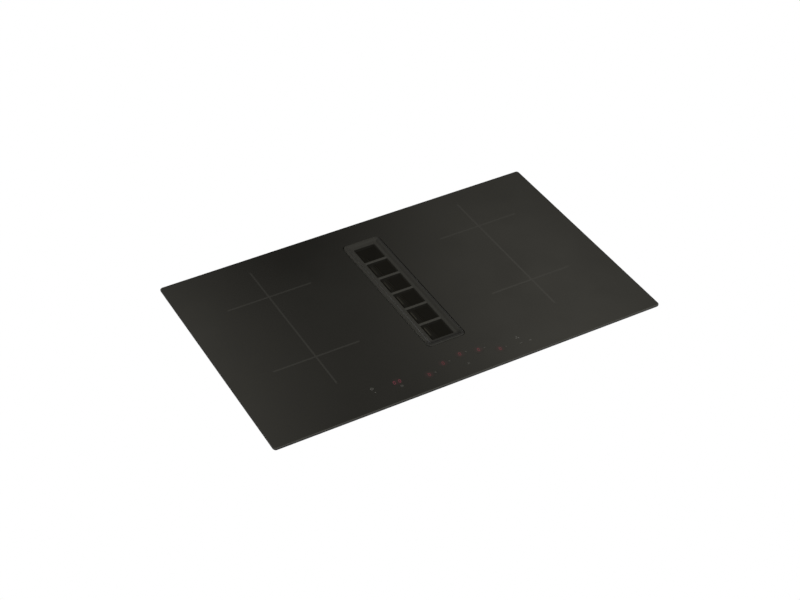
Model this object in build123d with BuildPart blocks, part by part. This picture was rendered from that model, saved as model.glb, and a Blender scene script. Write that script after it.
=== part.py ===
"""Downdraft induction cooktop, 830 x 520 mm, built into a worktop.

Millimetres. The origin is the middle of the glass plate in plan, on the top face of the
worktop. +X is the cook's right, +Y points to the wall and +Z is up. The seal lies on the
worktop, the glass lies on the seal, and everything else hangs through the cut-out.
"""
import math
import os

from build123d import *

os.makedirs("parts", exist_ok=True)

# ---------------------------------------------------------------- driving dimensions
# Glass plate and its seal
GLASS_W = 830.0
GLASS_D = 520.0
GLASS_T = 4.0
GLASS_R = 6.5
GLASS_BEVEL = 1.4
CUTOUT_BEVEL = 0.5
SEAL_T = 2.0
SEAL_W = 9.0
SEAL_INSET = 1.5

# Extraction grille, a casting that sits in the glass
GRILLE_W = 80.0
GRILLE_REAR = 59.5
GRILLE_FRONT = 107.5
GRILLE_R = 8.0
GRILLE_GAP = 1.5
RIM_PROUD = 1.2
RIM_W = 5.5
RIM_EDGE_R = 0.9
SLOPE_W = 4.6
BAR_DROP = 2.0
BAR_H = 6.6
BAR_W = 6.1
BAR_EDGE_R = 1.0
SIDE_MARGIN = 16.9
END_MARGIN = 16.3
OPENING_COUNT = 6
OPENING_R = 2.0
PAD_T = 2.0
PAD_L = 14.0
PAD_W = 2.4
PAD_INSET = 35.5

# Sheet metal collar under the glass, with the ledge that carries grille and filter
SHEET_T = 1.0
COLLAR_SET = 0.2
COLLAR_FLANGE = 12.0
LEDGE_W = 6.2
SHARPEST_R = 1.5

# Grease filter cassette
FILTER_CLEAR = 2.5
FILTER_H = 72.0
FILTER_WALL = 1.2
FILTER_FLANGE_T = 1.5
FILTER_FLANGE_W = 4.0
FILTER_LIP = 6.0
SPINE_W = 6.0
SPINE_H = 9.0
SPINE_DROP = 21.5
BAFFLE_T = 1.4
BAFFLE_SET = 2.0
BAFFLE_FALL = 38.0
BAFFLE_SLOTS = 9
BAFFLE_SLOT_W = 9.0
BAFFLE_SLOT_L = 21.0

# Intake well and drip tray
HOUSING_DEPTH = 200.0
WELL_WALL = 2.5
WELL_CLEAR = 0.5
WELL_RIB_INSET = 12.0
RIB_H = 2.2
RIB_T = 2.0
RIB_PITCH = 30.0
WINDOW_INSET = 25.5
WINDOW_H = 70.0
WINDOW_DROP = 26.0
WINDOW_R = 8.0
TRAY_CLEAR = 4.0
TRAY_H = 28.0
TRAY_WALL = 2.0

# Steel pan that holds coils and electronics
PAN_INSET = 22.0
PAN_FLOOR_DEPTH = 55.0
PAN_FLANGE = 6.0
PAN_R = 9.0
PAN_HOLE_CLEAR = 5.0
VENT_COUNT = 7
VENT_W = 4.0
VENT_PITCH = 10.0
VENT_L = 62.0
REAR_SLOTS = 9
REAR_SLOT_W = 5.0
REAR_SLOT_H = 22.0
REAR_SLOT_PITCH = 12.0
SWAGE_H = 9.0
SWAGE_OUT = 1.5
SWAGE_Z = -28.0
SWAGE_FRONT_INSET = 50.0
SWAGE_SIDE_INSET = 110.0

# Induction zones, centred on the plates that carry their coils
PLATE_GRILLE_GAP = 47.0
PLATE_WALL_GAP = 5.0
PLATE_REAR_GAP = 13.0
PLATE_CONTROL_GAP = 17.0
ZONE_SET = 2.5
COIL_GAP = 25.0
COIL_EDGE = 5.5
COIL_BORE = 34.0
COIL_SPLIT_D = 96.0
COIL_SPLIT_GAP = 7.0
MICA_T = 0.8
WINDING_T = 4.5
CARRIER_T = 2.5
FERRITE_T = 5.0
FERRITE_W = 15.0
FERRITE_COUNT = 8
PLATE_T = 1.5
LEG_W = 22.0
LEG_PITCH = 260.0
SENSOR_D = 12.0
SENSOR_FLANGE_D = 22.0
SENSOR_FLANGE_T = 2.0

# Electronics
BOARD_INNER_GAP = 10.0
BOARD_FAN_GAP = 14.0
BOARD_END_GAP = 15.0
BOARD_T = 1.6
POST_H = 8.0
POST_D = 8.0
SINK_W = 46.0
SINK_INSET = 68.0
SINK_H = 27.0
SINK_FINS = 8
FIN_T = 1.8
SINK_BASE_T = 4.0
AXIAL_SIZE = 80.0
AXIAL_T = 24.0
AXIAL_WALL_GAP = 7.0
AXIAL_FRONT = 70.0
AXIAL_HUB_D = 34.0
AXIAL_TIP_GAP = 1.5
AXIAL_BLADES = 7
AXIAL_WALL = 2.0
AXIAL_CORNER_R = 5.0
AXIAL_SPOKE_W = 5.0
SPIDER_T = 4.0
ROTOR_GAP = 1.0
AXIAL_BLADE_T = 1.6
AXIAL_ROOT = {"width": 17.0, "pitch": 42.0}
AXIAL_TIP = {"width": 27.0, "pitch": 28.0}
PIN_D = 3.0
RUN_CLEAR = 0.05
CAPACITOR_SIZE = (26.0, 44.0, 24.0)
CAPACITOR_COUNT = 3
CHOKE_D = 20.0
CHOKE_H = 25.0
CHOKE_COUNT = 4
RELAY_D = 12.0
RELAY_H = 16.0
RELAY_COUNT = 3

# Touch controls in front of the grille. Their places are measured from the grille's
# centre line and from the control board's own.
CONTROL_X = -24.0
CONTROL_FRONT = 47.5
CONTROL_W = 376.0
CONTROL_D = 43.0
HOLDER_T = 2.0
HOLDER_RIM = 2.0
HOLDER_FOOT_R = 4.0
CONTROL_DROP = 14.4
SPRING_D = 8.0
SPRING_WIRE = 1.4
DISPLAY_GAP = 0.4
DIGIT_SIZE = (9.0, 12.0)
TIMER_SIZE = (30.0, 15.0)
TIMER_AT = (-140.5, 2.0)
DIGIT_ARC = [(-77.0, -7.0), (-39.0, 8.0), (1.0, 15.5), (39.5, 8.0), (77.0, -8.0)]
DOT_SIDE = 12.5
KEY_SPOTS = [(-189.0, 5.0), (-139.0, -13.0), (3.0, -16.5), (120.5, 2.5), (119.0, -16.0), (139.0, -15.5)]

# Blower: tub, lid, scroll, impeller and motor. The duct's width sets the tub's, and the
# tub's sets the impeller's.
TUB_GAP = 3.0
TUB_FRONT_GAP = 68.0
TUB_REAR_GAP = 20.0
TUB_RIM = 2.2
TUB_WALL = 2.5
TUB_R = 6.0
TUB_BASE_R = 4.0
LID_T = 4.0
LUG_R = 6.5
LUG_OUT = 7.0
LUG_T = 3.0
LUG_PITCH_X = 136.0
LUG_PITCH_Y = 200.0
FAN_FRONT = 135.0
IMPELLER_H = 60.0
BLADE_COUNT = 11
BLADE_T = 1.8
BLADE_ROOT = 10.0
BLADE_SWEEP = 34.0
BLADE_CAMBER_R = 60.0
SHROUD_T = 2.0
SHROUD_W = 19.0
HUB_D = 30.0
HUB_H = 36.0
SCROLL_TIP_GAP = 11.0
SCROLL_STEP = 12.0
SCROLL_WALL = 2.5
SCROLL_UNDER = 4.5
SCROLL_LEFT_GAP = 12.5
SCROLL_RIGHT_GAP = 9.5
TONGUE_X = 25.0
INLET_LIP = 1.0
INLET_GAP = 2.5
INLET_T = 2.0
INLET_BELL_R = 7.0
INLET_RIM = 6.0
FOOT_D = 12.0
MOTOR_D = 84.0
MOTOR_H = 39.0
MOTOR_GAP = 4.0
MOTOR_EDGE_R = 6.0
MOTOR_SLOTS = 12
MOTOR_SLOT_W = 5.0
MOTOR_SLOT_H = 14.0
MOTOR_SLOT_DEEP = 2.0
MOTOR_EAR_T = 2.5
MOTOR_EAR_R = 52.0
SHAFT_D = 8.0
SHAFT_SEAT = 29.0
GROMMET_D = 16.0
GROMMET_T = 3.0

# Outlet to a flat duct
SPIGOT_W = 222.0
SPIGOT_H = 89.0
SPIGOT_L = 40.0
SPIGOT_WALL = 2.0
SPIGOT_R = 8.0
SPIGOT_FLANGE = 9.0
SPIGOT_FLANGE_T = 3.0
SPIGOT_STEP = 1.5
GUSSET_L = 12.0
GUSSET_H = 7.0
GUSSET_T = 2.0
GUSSET_PITCH = 54.0
GUSSET_COUNT = 4

# Mains connection under the pan
TERMINAL_SIDE = 58.0
TERMINAL_REAR = 52.0
TERMINAL_W = 84.0
TERMINAL_L = 78.0
TERMINAL_H = 36.0
TERMINAL_WALL = 2.0
TERMINAL_R = 5.0
BLOCK_SIZE = (58.0, 24.0, 18.0)
WIRE_COUNT = 5
WIRE_HOLE_D = 5.0
BUSH_BORE_D = 13.0
BUSH_D = 21.0
BUSH_L = 18.0
BUSH_SHOULDER = 2.0

# Fasteners and clips
SCREW_D = 3.8
SCREW_HEAD_D = 7.6
SCREW_HEAD_H = 2.4
SCREW_TIP = 3.0
HOLE_CLEAR = 0.3
CLIP_W = 24.0
CLIP_L = 42.0
CLIP_BULGE = 8.0
CLIP_T = 1.0
CLIP_END = 88.0

# ---------------------------------------------------------------- derived levels
GLASS_Z = SEAL_T
GLASS_TOP_Z = GLASS_Z + GLASS_T
RIM_Z = GLASS_TOP_Z + RIM_PROUD
BAR_TOP_Z = GLASS_TOP_Z - BAR_DROP
GRILLE_Z = BAR_TOP_Z - BAR_H
LEDGE_TOP_Z = GRILLE_Z - PAD_T
LEDGE_Z = LEDGE_TOP_Z - SHEET_T
FILTER_FLANGE_Z = LEDGE_TOP_Z
FILTER_Z = LEDGE_TOP_Z - FILTER_H
BASE_Z = -HOUSING_DEPTH
PAN_Z = -PAN_FLOOR_DEPTH
PAN_FLOOR_TOP = PAN_Z + SHEET_T
LID_Z = PAN_Z - LID_T
WINDING_TOP = GLASS_Z - MICA_T
CARRIER_TOP = WINDING_TOP - WINDING_T
FERRITE_TOP = CARRIER_TOP - CARRIER_T
PLATE_TOP = FERRITE_TOP - FERRITE_T
PLATE_Z = PLATE_TOP - PLATE_T
BOARD_Z = PAN_FLOOR_TOP + POST_H
BOARD_TOP = BOARD_Z + BOARD_T
CONTROL_TOP = GLASS_Z - CONTROL_DROP
CONTROL_Z = CONTROL_TOP - BOARD_T
MOTOR_TOP = LID_Z - GROMMET_T
MOTOR_Z = MOTOR_TOP - MOTOR_H
IMPELLER_TOP_Z = MOTOR_Z - MOTOR_GAP
IMPELLER_Z = IMPELLER_TOP_Z - IMPELLER_H
SCROLL_FLOOR_TOP = IMPELLER_Z - SCROLL_UNDER
SCROLL_Z = SCROLL_FLOOR_TOP - SCROLL_WALL
WINDOW_Z = LID_Z - WINDOW_DROP - WINDOW_H / 2
OUTLET_W = SPIGOT_W - 2 * SPIGOT_WALL
OUTLET_H = SPIGOT_H - 2 * SPIGOT_WALL
SPIGOT_Z = SCROLL_FLOOR_TOP + SPIGOT_STEP + OUTLET_H / 2

# ---------------------------------------------------------------- derived plan
GRILLE_L = GLASS_D - GRILLE_REAR - GRILLE_FRONT
GRILLE_Y = (GRILLE_FRONT - GRILLE_REAR) / 2
PAN_W = GLASS_W - 2 * PAN_INSET
PAN_D = GLASS_D - 2 * PAN_INSET
CONTROL_Y = CONTROL_FRONT - GLASS_D / 2
WINDOW_L = GRILLE_L - 2 * WINDOW_INSET

# Coil plates fill the room between the grille and the pan's wall.
PLATE_INNER_X = GRILLE_W / 2 + PLATE_GRILLE_GAP
PLATE_OUTER_X = PAN_W / 2 - SHEET_T - PLATE_WALL_GAP
PLATE_FRONT_Y = CONTROL_Y + CONTROL_D / 2 + PLATE_CONTROL_GAP
PLATE_REAR_Y = PAN_D / 2 - SHEET_T - PLATE_REAR_GAP
PLATE_W = PLATE_OUTER_X - PLATE_INNER_X
PLATE_L = PLATE_REAR_Y - PLATE_FRONT_Y
PLATE_Y = (PLATE_REAR_Y + PLATE_FRONT_Y) / 2
COIL_D = (PLATE_L - COIL_GAP) / 2 - COIL_EDGE
ZONE_X = (PLATE_OUTER_X + PLATE_INNER_X) / 2
ZONE_REAR_Y = PLATE_Y + ZONE_SET + (COIL_D + COIL_GAP) / 2
ZONE_FRONT_Y = PLATE_Y + ZONE_SET - (COIL_D + COIL_GAP) / 2

# Boards lie under the plates, beside their fans.
AXIAL_X = PAN_W / 2 - SHEET_T - AXIAL_WALL_GAP - AXIAL_SIZE / 2
AXIAL_Y = PLATE_FRONT_Y + AXIAL_FRONT
BOARD_INNER_X = PLATE_INNER_X + BOARD_INNER_GAP
BOARD_OUTER_X = AXIAL_X - AXIAL_SIZE / 2 - BOARD_FAN_GAP
BOARD_W = BOARD_OUTER_X - BOARD_INNER_X
BOARD_L = PLATE_L - 2 * BOARD_END_GAP
BOARD_X = (BOARD_OUTER_X + BOARD_INNER_X) / 2
SINK_L = BOARD_L - 2 * SINK_INSET

# Plan offsets of the nested frames, measured outward from the grille's outline
AT_GLASS = GRILLE_GAP
AT_COLLAR_IN = AT_GLASS + COLLAR_SET
AT_COLLAR_OUT = AT_COLLAR_IN + SHEET_T
AT_LEDGE = AT_COLLAR_IN - LEDGE_W
AT_FILTER = AT_LEDGE - FILTER_CLEAR
AT_FILTER_FLANGE = AT_FILTER + FILTER_FLANGE_W
AT_WELL_IN = AT_LEDGE + WELL_CLEAR
AT_WELL_OUT = AT_WELL_IN + WELL_WALL
AT_TRAY = AT_WELL_IN - TRAY_CLEAR
AT_PAN_HOLE = AT_WELL_OUT + PAN_HOLE_CLEAR

WELL_SIDE_X = GRILLE_W / 2 + AT_WELL_OUT
WELL_END_Y = GRILLE_L / 2 + AT_WELL_OUT

TUB_W = SPIGOT_W + 2 * SPIGOT_FLANGE
TUB_LEFT_X = WELL_SIDE_X + TUB_GAP
TUB_RIGHT_X = TUB_LEFT_X + TUB_W
TUB_X = TUB_LEFT_X + TUB_W / 2
TUB_FRONT_Y = TUB_FRONT_GAP - PAN_D / 2
TUB_REAR_Y = PAN_D / 2 - TUB_REAR_GAP
TUB_L = TUB_REAR_Y - TUB_FRONT_Y
TUB_Y = TUB_FRONT_Y + TUB_L / 2
SCROLL_W = TUB_W - 2 * TUB_WALL - SCROLL_LEFT_GAP - SCROLL_RIGHT_GAP - 2 * SCROLL_WALL
SCROLL_R = (SCROLL_W - 3 * SCROLL_STEP) / 2
IMPELLER_D = 2 * (SCROLL_R - SCROLL_TIP_GAP)
FAN_X = TUB_LEFT_X + TUB_WALL + SCROLL_LEFT_GAP + SCROLL_WALL + SCROLL_R
FAN_Y = TUB_FRONT_Y + FAN_FRONT
EYE_R = IMPELLER_D / 2 - SHROUD_W
INLET_R = EYE_R - INLET_GAP

TERMINAL_X = TERMINAL_SIDE - PAN_W / 2
TERMINAL_Y = PAN_D / 2 - TERMINAL_REAR
# Screw lugs: a point on the wall and the direction in which the lug stands out
LUG_SPOTS = [
    (TUB_X - LUG_PITCH_X / 2, TUB_FRONT_Y, 0, -1),
    (TUB_X + LUG_PITCH_X / 2, TUB_FRONT_Y, 0, -1),
    (TUB_X - LUG_PITCH_X / 2, TUB_REAR_Y, 0, 1),
    (TUB_X + LUG_PITCH_X / 2, TUB_REAR_Y, 0, 1),
    (TUB_RIGHT_X, TUB_Y - LUG_PITCH_Y / 2, 1, 0),
    (TUB_RIGHT_X, TUB_Y + LUG_PITCH_Y / 2, 1, 0),
]
WELL_LUG_OUT = PAN_HOLE_CLEAR + LUG_R
WELL_LUG_SPOTS = [
    (-WELL_SIDE_X, GRILLE_Y - LUG_PITCH_Y / 2, -1, 0),
    (-WELL_SIDE_X, GRILLE_Y + LUG_PITCH_Y / 2, -1, 0),
    (0.0, GRILLE_Y - WELL_END_Y, 0, -1),
    (0.0, GRILLE_Y + WELL_END_Y, 0, 1),
]
MOTOR_EAR_ANGLES = [90.0, 210.0, 330.0]
SIDES = {"left": -1, "right": 1}
ZONES = {
    "rear_left": (-ZONE_X, ZONE_REAR_Y),
    "rear_right": (ZONE_X, ZONE_REAR_Y),
    "front_left": (-ZONE_X, ZONE_FRONT_Y),
    "front_right": (ZONE_X, ZONE_FRONT_Y),
}
FROM_BELOW = (Align.CENTER, Align.CENTER, Align.MIN)
FROM_ABOVE = (Align.CENTER, Align.CENTER, Align.MAX)


def save(piece, label):
    """Label a finished piece and write its STEP file."""
    piece.part.label = label
    export_step(piece.part, f"parts/{label}.step")


def opening_outline(extra, mode=Mode.ADD):
    """Rounded rectangle that lies `extra` outside the grille's outline."""
    with Locations((0, GRILLE_Y)):
        RectangleRounded(
            GRILLE_W + 2 * extra, GRILLE_L + 2 * extra, max(GRILLE_R + extra, SHARPEST_R), mode=mode
        )


def lug_outlines(spots, out):
    """Screw lugs in plan, each a round end joined to the wall that it stands on."""
    for x, y, nx, ny in spots:
        with Locations((x + nx * out, y + ny * out)):
            Circle(LUG_R)
        with Locations((x + nx * out / 2, y + ny * out / 2)):
            Rectangle(out if nx else 2 * LUG_R, out if ny else 2 * LUG_R)


def lug_centres(spots, out, z):
    """Screw axes of the lugs, at height z."""
    return [(x + nx * out, y + ny * out, z) for x, y, nx, ny in spots]


def wall_ribs(x, y, span, along_x):
    """Upright ribs in plan along a wall through (x, y), spread over its span."""
    gaps = round(span / RIB_PITCH)
    with Locations((x, y)):
        if along_x:
            with GridLocations(span / gaps, 0, gaps + 1, 1):
                Rectangle(RIB_T, 2 * RIB_H)
        else:
            with GridLocations(0, span / gaps, 1, gaps + 1):
                Rectangle(2 * RIB_H, RIB_T)


def swage_section(inset):
    """Section of a stiffening bead that stands out of a sheet wall whose face is at -inset."""
    with BuildLine() as bead:
        Polyline(
            (-inset - SHEET_T, SWAGE_Z - SWAGE_H / 2),
            (-inset, SWAGE_Z - SWAGE_H / 2),
            (SWAGE_OUT - inset, SWAGE_Z - SWAGE_H / 2 + SWAGE_OUT),
            (SWAGE_OUT - inset, SWAGE_Z + SWAGE_H / 2 - SWAGE_OUT),
            (-inset, SWAGE_Z + SWAGE_H / 2),
            (-inset - SHEET_T, SWAGE_Z + SWAGE_H / 2),
            close=True,
        )
    make_face(bead.edges())


# ---------------------------------------------------------------- glass and seal
with BuildPart() as glass_top:
    with BuildSketch(Plane.XY.offset(GLASS_Z)):
        RectangleRounded(GLASS_W, GLASS_D, GLASS_R)
        opening_outline(AT_GLASS, mode=Mode.SUBTRACT)
    extrude(amount=GLASS_T)
    upper_face = glass_top.faces().sort_by(Axis.Z)[-1]
    chamfer(upper_face.outer_wire().edges(), GLASS_BEVEL)
    upper_face = glass_top.faces().sort_by(Axis.Z)[-1]
    chamfer(upper_face.inner_wires()[0].edges(), CUTOUT_BEVEL)
save(glass_top, "glass_top")

with BuildPart() as glass_seal:
    with BuildSketch():
        Rectangle(GLASS_W - 2 * SEAL_INSET, GLASS_D - 2 * SEAL_INSET)
        seal_inner = SEAL_INSET + SEAL_W
        Rectangle(GLASS_W - 2 * seal_inner, GLASS_D - 2 * seal_inner, mode=Mode.SUBTRACT)
    extrude(amount=SEAL_T)
    fillet(glass_seal.edges().filter_by(Axis.Z).group_by(SortBy.DISTANCE)[-1], GLASS_R - SEAL_INSET)
save(glass_seal, "glass_seal")

with BuildPart() as intake_collar:
    with BuildSketch(Plane.XY.offset(LEDGE_Z)):
        opening_outline(AT_COLLAR_OUT)
        opening_outline(AT_LEDGE, mode=Mode.SUBTRACT)
    extrude(amount=SHEET_T)
    with BuildSketch(Plane.XY.offset(LEDGE_TOP_Z)):
        opening_outline(AT_COLLAR_OUT)
        opening_outline(AT_COLLAR_IN, mode=Mode.SUBTRACT)
    extrude(amount=GLASS_Z - LEDGE_TOP_Z)
    with BuildSketch(Plane.XY.offset(GLASS_Z - SHEET_T)):
        opening_outline(AT_COLLAR_IN + COLLAR_FLANGE)
        opening_outline(AT_COLLAR_IN, mode=Mode.SUBTRACT)
    extrude(amount=SHEET_T)
save(intake_collar, "intake_collar")

# ---------------------------------------------------------------- grille
OPENING_W = GRILLE_W - 2 * SIDE_MARGIN
OPENING_L = (GRILLE_L - 2 * END_MARGIN - (OPENING_COUNT - 1) * BAR_W) / OPENING_COUNT
OPENING_PITCH = OPENING_L + BAR_W

with BuildPart() as grille:
    with BuildSketch(Plane.XY.offset(GRILLE_Z)):
        opening_outline(0)
    extrude(amount=RIM_Z - GRILLE_Z)
    with BuildSketch(Plane.XY.offset(RIM_Z)):
        opening_outline(-RIM_W)
    with BuildSketch(Plane.XY.offset(BAR_TOP_Z)):
        opening_outline(-RIM_W - SLOPE_W)
    loft(ruled=True, mode=Mode.SUBTRACT)
    fillet(grille.faces().sort_by(Axis.Z)[-1].edges(), RIM_EDGE_R)
    with BuildSketch(Plane.XY.offset(GRILLE_Z)):
        with Locations((0, GRILLE_Y)):
            with GridLocations(0, OPENING_PITCH, 1, OPENING_COUNT):
                RectangleRounded(OPENING_W, OPENING_L, OPENING_R)
    extrude(amount=BAR_H, mode=Mode.SUBTRACT)
    dish_floor = grille.faces().filter_by(Axis.Z).group_by(Axis.Z)[-2].sort_by(SortBy.AREA)[-1]
    chamfer([edge for wire in dish_floor.inner_wires() for edge in wire.edges()], BAR_EDGE_R)
save(grille, "grille")

with BuildPart() as grille_pads:
    pad_x = (GRILLE_W - PAD_W) / 2
    with Locations((0, GRILLE_Y, LEDGE_TOP_Z)):
        with GridLocations(2 * pad_x, GRILLE_L / 2 - PAD_INSET, 2, 3):
            Box(PAD_W, PAD_L, PAD_T, align=FROM_BELOW)
save(grille_pads, "grille_pads")

# ---------------------------------------------------------------- grease filter
FILTER_TOP_Z = FILTER_FLANGE_Z + FILTER_FLANGE_T
SPINE_TOP = FILTER_TOP_Z - SPINE_DROP
FILTER_INNER_W = GRILLE_W + 2 * (AT_FILTER - FILTER_WALL)
FILTER_INNER_L = GRILLE_L + 2 * (AT_FILTER - FILTER_WALL)
BAFFLE_TOP = SPINE_TOP - BAFFLE_SET

with BuildPart() as filter_frame:
    with BuildSketch(Plane.XY.offset(FILTER_Z)):
        opening_outline(AT_FILTER)
    extrude(amount=FILTER_H)
    with BuildSketch(Plane.XY.offset(FILTER_FLANGE_Z)):
        opening_outline(AT_FILTER_FLANGE)
    extrude(amount=FILTER_FLANGE_T)
    with BuildSketch(Plane.XY.offset(FILTER_Z + FILTER_WALL)):
        opening_outline(AT_FILTER - FILTER_WALL)
    extrude(amount=FILTER_H + FILTER_FLANGE_T, mode=Mode.SUBTRACT)
    with BuildSketch(Plane.XY.offset(FILTER_Z)):
        opening_outline(AT_FILTER - FILTER_LIP)
    extrude(amount=FILTER_WALL, mode=Mode.SUBTRACT)
    with BuildSketch(Plane.XZ.offset(-GRILLE_Y)):
        with Locations((0, SPINE_TOP - SPINE_H)):
            Rectangle(SPINE_W, SPINE_H, align=(Align.CENTER, Align.MIN))
    extrude(amount=FILTER_INNER_L / 2, both=True)
save(filter_frame, "filter_frame")

with BuildPart() as filter_baffles:
    inner_x = SPINE_W / 2
    outer_x = FILTER_INNER_W / 2
    for side in SIDES.values():
        with BuildSketch(Plane.XZ.offset(-GRILLE_Y)):
            with BuildLine():
                Polyline(
                    (side * inner_x, BAFFLE_TOP),
                    (side * outer_x, BAFFLE_TOP - BAFFLE_FALL),
                    (side * outer_x, BAFFLE_TOP - BAFFLE_FALL - BAFFLE_T),
                    (side * inner_x, BAFFLE_TOP - BAFFLE_T),
                    close=True,
                )
            make_face()
        extrude(amount=FILTER_INNER_L / 2 - SHARPEST_R, both=True)
    slot_pitch = FILTER_INNER_L / BAFFLE_SLOTS
    slot_reach = outer_x + inner_x
    with BuildSketch(Plane.XY.offset(BAFFLE_TOP)):
        with Locations((0, GRILLE_Y)):
            with GridLocations(slot_reach, slot_pitch, 2, BAFFLE_SLOTS):
                Rectangle(BAFFLE_SLOT_L, BAFFLE_SLOT_W)
    extrude(amount=-BAFFLE_FALL - BAFFLE_T, mode=Mode.SUBTRACT)
save(filter_baffles, "filter_baffles")

# ---------------------------------------------------------------- intake well and tray
with BuildPart() as intake_well:
    with BuildSketch(Plane.XY.offset(BASE_Z)):
        opening_outline(AT_WELL_OUT)
    extrude(amount=LEDGE_Z - BASE_Z)
    fillet(intake_well.faces().sort_by(Axis.Z)[0].edges(), WELL_WALL)
    with BuildSketch(Plane.XY.offset(PAN_Z - LUG_T)):
        lug_outlines(WELL_LUG_SPOTS, WELL_LUG_OUT)
    extrude(amount=LUG_T)
    with BuildSketch(Plane.XY.offset(BASE_Z + 2 * WELL_WALL)):
        wall_ribs(-WELL_SIDE_X, GRILLE_Y, WINDOW_L, along_x=False)
        for end in (-WELL_END_Y, WELL_END_Y):
            wall_ribs(0, GRILLE_Y + end, GRILLE_W - 2 * WELL_RIB_INSET, along_x=True)
    extrude(amount=PAN_Z - LUG_T - BASE_Z - 4 * WELL_WALL)
    with BuildSketch(Plane.XY.offset(BASE_Z + WELL_WALL)):
        opening_outline(AT_WELL_IN)
    extrude(amount=LEDGE_Z - BASE_Z, mode=Mode.SUBTRACT)
    with BuildSketch(Plane.YZ.offset(WELL_SIDE_X)):
        with Locations((GRILLE_Y, WINDOW_Z)):
            RectangleRounded(WINDOW_L, WINDOW_H, WINDOW_R)
    extrude(amount=-2 * WELL_WALL, mode=Mode.SUBTRACT)
    with Locations(*lug_centres(WELL_LUG_SPOTS, WELL_LUG_OUT, PAN_Z)):
        Hole(SCREW_D / 2 + HOLE_CLEAR, depth=LUG_T)
save(intake_well, "intake_well")

TRAY_Z = BASE_Z + WELL_WALL
with BuildPart() as drip_tray:
    with BuildSketch(Plane.XY.offset(TRAY_Z)):
        opening_outline(AT_TRAY)
    extrude(amount=TRAY_H)
    fillet(drip_tray.faces().sort_by(Axis.Z)[0].edges(), TRAY_WALL)
    with BuildSketch(Plane.XY.offset(TRAY_Z + TRAY_WALL)):
        opening_outline(AT_TRAY - TRAY_WALL)
    extrude(amount=TRAY_H, mode=Mode.SUBTRACT)
save(drip_tray, "drip_tray")

# ---------------------------------------------------------------- steel pan
REAR_SLOT_Z = (PAN_FLOOR_TOP + PLATE_Z) / 2
with BuildPart() as base_pan:
    with BuildSketch(Plane.XY.offset(PAN_Z)):
        RectangleRounded(PAN_W, PAN_D, PAN_R)
    extrude(amount=GLASS_Z - PAN_Z)
    with BuildSketch(Plane.XY.offset(GLASS_Z - SHEET_T)):
        RectangleRounded(PAN_W + 2 * PAN_FLANGE, PAN_D + 2 * PAN_FLANGE, PAN_R + PAN_FLANGE)
    extrude(amount=SHEET_T)
    with BuildSketch(Plane.XY.offset(PAN_FLOOR_TOP)):
        RectangleRounded(PAN_W - 2 * SHEET_T, PAN_D - 2 * SHEET_T, PAN_R - SHEET_T)
    extrude(amount=GLASS_Z - PAN_FLOOR_TOP, mode=Mode.SUBTRACT)
    with BuildSketch(Plane.XY.offset(PAN_Z)):
        opening_outline(AT_PAN_HOLE)
        for side in SIDES.values():
            with Locations((side * AXIAL_X, AXIAL_Y)):
                with GridLocations(0, VENT_PITCH, 1, VENT_COUNT):
                    Rectangle(VENT_L, VENT_W)
        with Locations((TERMINAL_X, TERMINAL_Y)):
            Circle(BUSH_D / 2)
    extrude(amount=SHEET_T, mode=Mode.SUBTRACT)
    for side in SIDES.values():
        with BuildSketch(Plane.XZ.offset(-PAN_D / 2)):
            with Locations((side * ZONE_X, REAR_SLOT_Z)):
                with GridLocations(REAR_SLOT_PITCH, 0, REAR_SLOTS, 1):
                    Rectangle(REAR_SLOT_W, REAR_SLOT_H)
        extrude(amount=2 * SHEET_T, mode=Mode.SUBTRACT)
    for out, reach, span in (
        (Vector(0, -1, 0), PAN_D / 2, PAN_W - 2 * SWAGE_FRONT_INSET),
        (Vector(1, 0, 0), PAN_W / 2, PAN_D - 2 * SWAGE_SIDE_INSET),
        (Vector(-1, 0, 0), PAN_W / 2, PAN_D - 2 * SWAGE_SIDE_INSET),
    ):
        wall_section = Plane(origin=out * reach, x_dir=out, z_dir=out.cross(Vector(0, 0, 1)))
        with BuildSketch(wall_section):
            swage_section(0)
        extrude(amount=span / 2, both=True)
        with BuildSketch(wall_section):
            swage_section(SHEET_T)
        extrude(amount=span / 2 - SHEET_T, both=True, mode=Mode.SUBTRACT)
    with Locations(
        *lug_centres(LUG_SPOTS, LUG_OUT, PAN_FLOOR_TOP),
        *lug_centres(WELL_LUG_SPOTS, WELL_LUG_OUT, PAN_FLOOR_TOP),
    ):
        Hole(SCREW_D / 2 + RUN_CLEAR, depth=SHEET_T)
save(base_pan, "base_pan")

# Spring clips on the pan's sides centre it in the cut-out.
with BuildPart() as worktop_clips:
    clip_y = PAN_D / 2 - CLIP_END
    for side in SIDES.values():
        for y in (-clip_y, clip_y):
            with BuildSketch(Plane.XZ.offset(-y - CLIP_W / 2)):
                with BuildLine():
                    wall_x = side * PAN_W / 2
                    top_z = -2 * CLIP_BULGE / 3
                    low_z = top_z - CLIP_L
                    Polyline(
                        (wall_x + side * CLIP_T, top_z - 2 * CLIP_T),
                        (wall_x + side * CLIP_BULGE, (top_z + low_z) / 2),
                        (wall_x + side * CLIP_T, low_z + 2 * CLIP_T),
                        (wall_x + side * CLIP_T, low_z),
                        (wall_x, low_z),
                        (wall_x, top_z),
                        (wall_x + side * CLIP_T, top_z),
                        close=True,
                    )
                make_face()
                with BuildLine():
                    Polyline(
                        (wall_x + side * CLIP_T, top_z - 4 * CLIP_T),
                        (wall_x + side * (CLIP_BULGE - 1.3 * CLIP_T), (top_z + low_z) / 2),
                        (wall_x + side * CLIP_T, low_z + 4 * CLIP_T),
                        close=True,
                    )
                make_face(mode=Mode.SUBTRACT)
            extrude(amount=CLIP_W)
save(worktop_clips, "worktop_clips")

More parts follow.
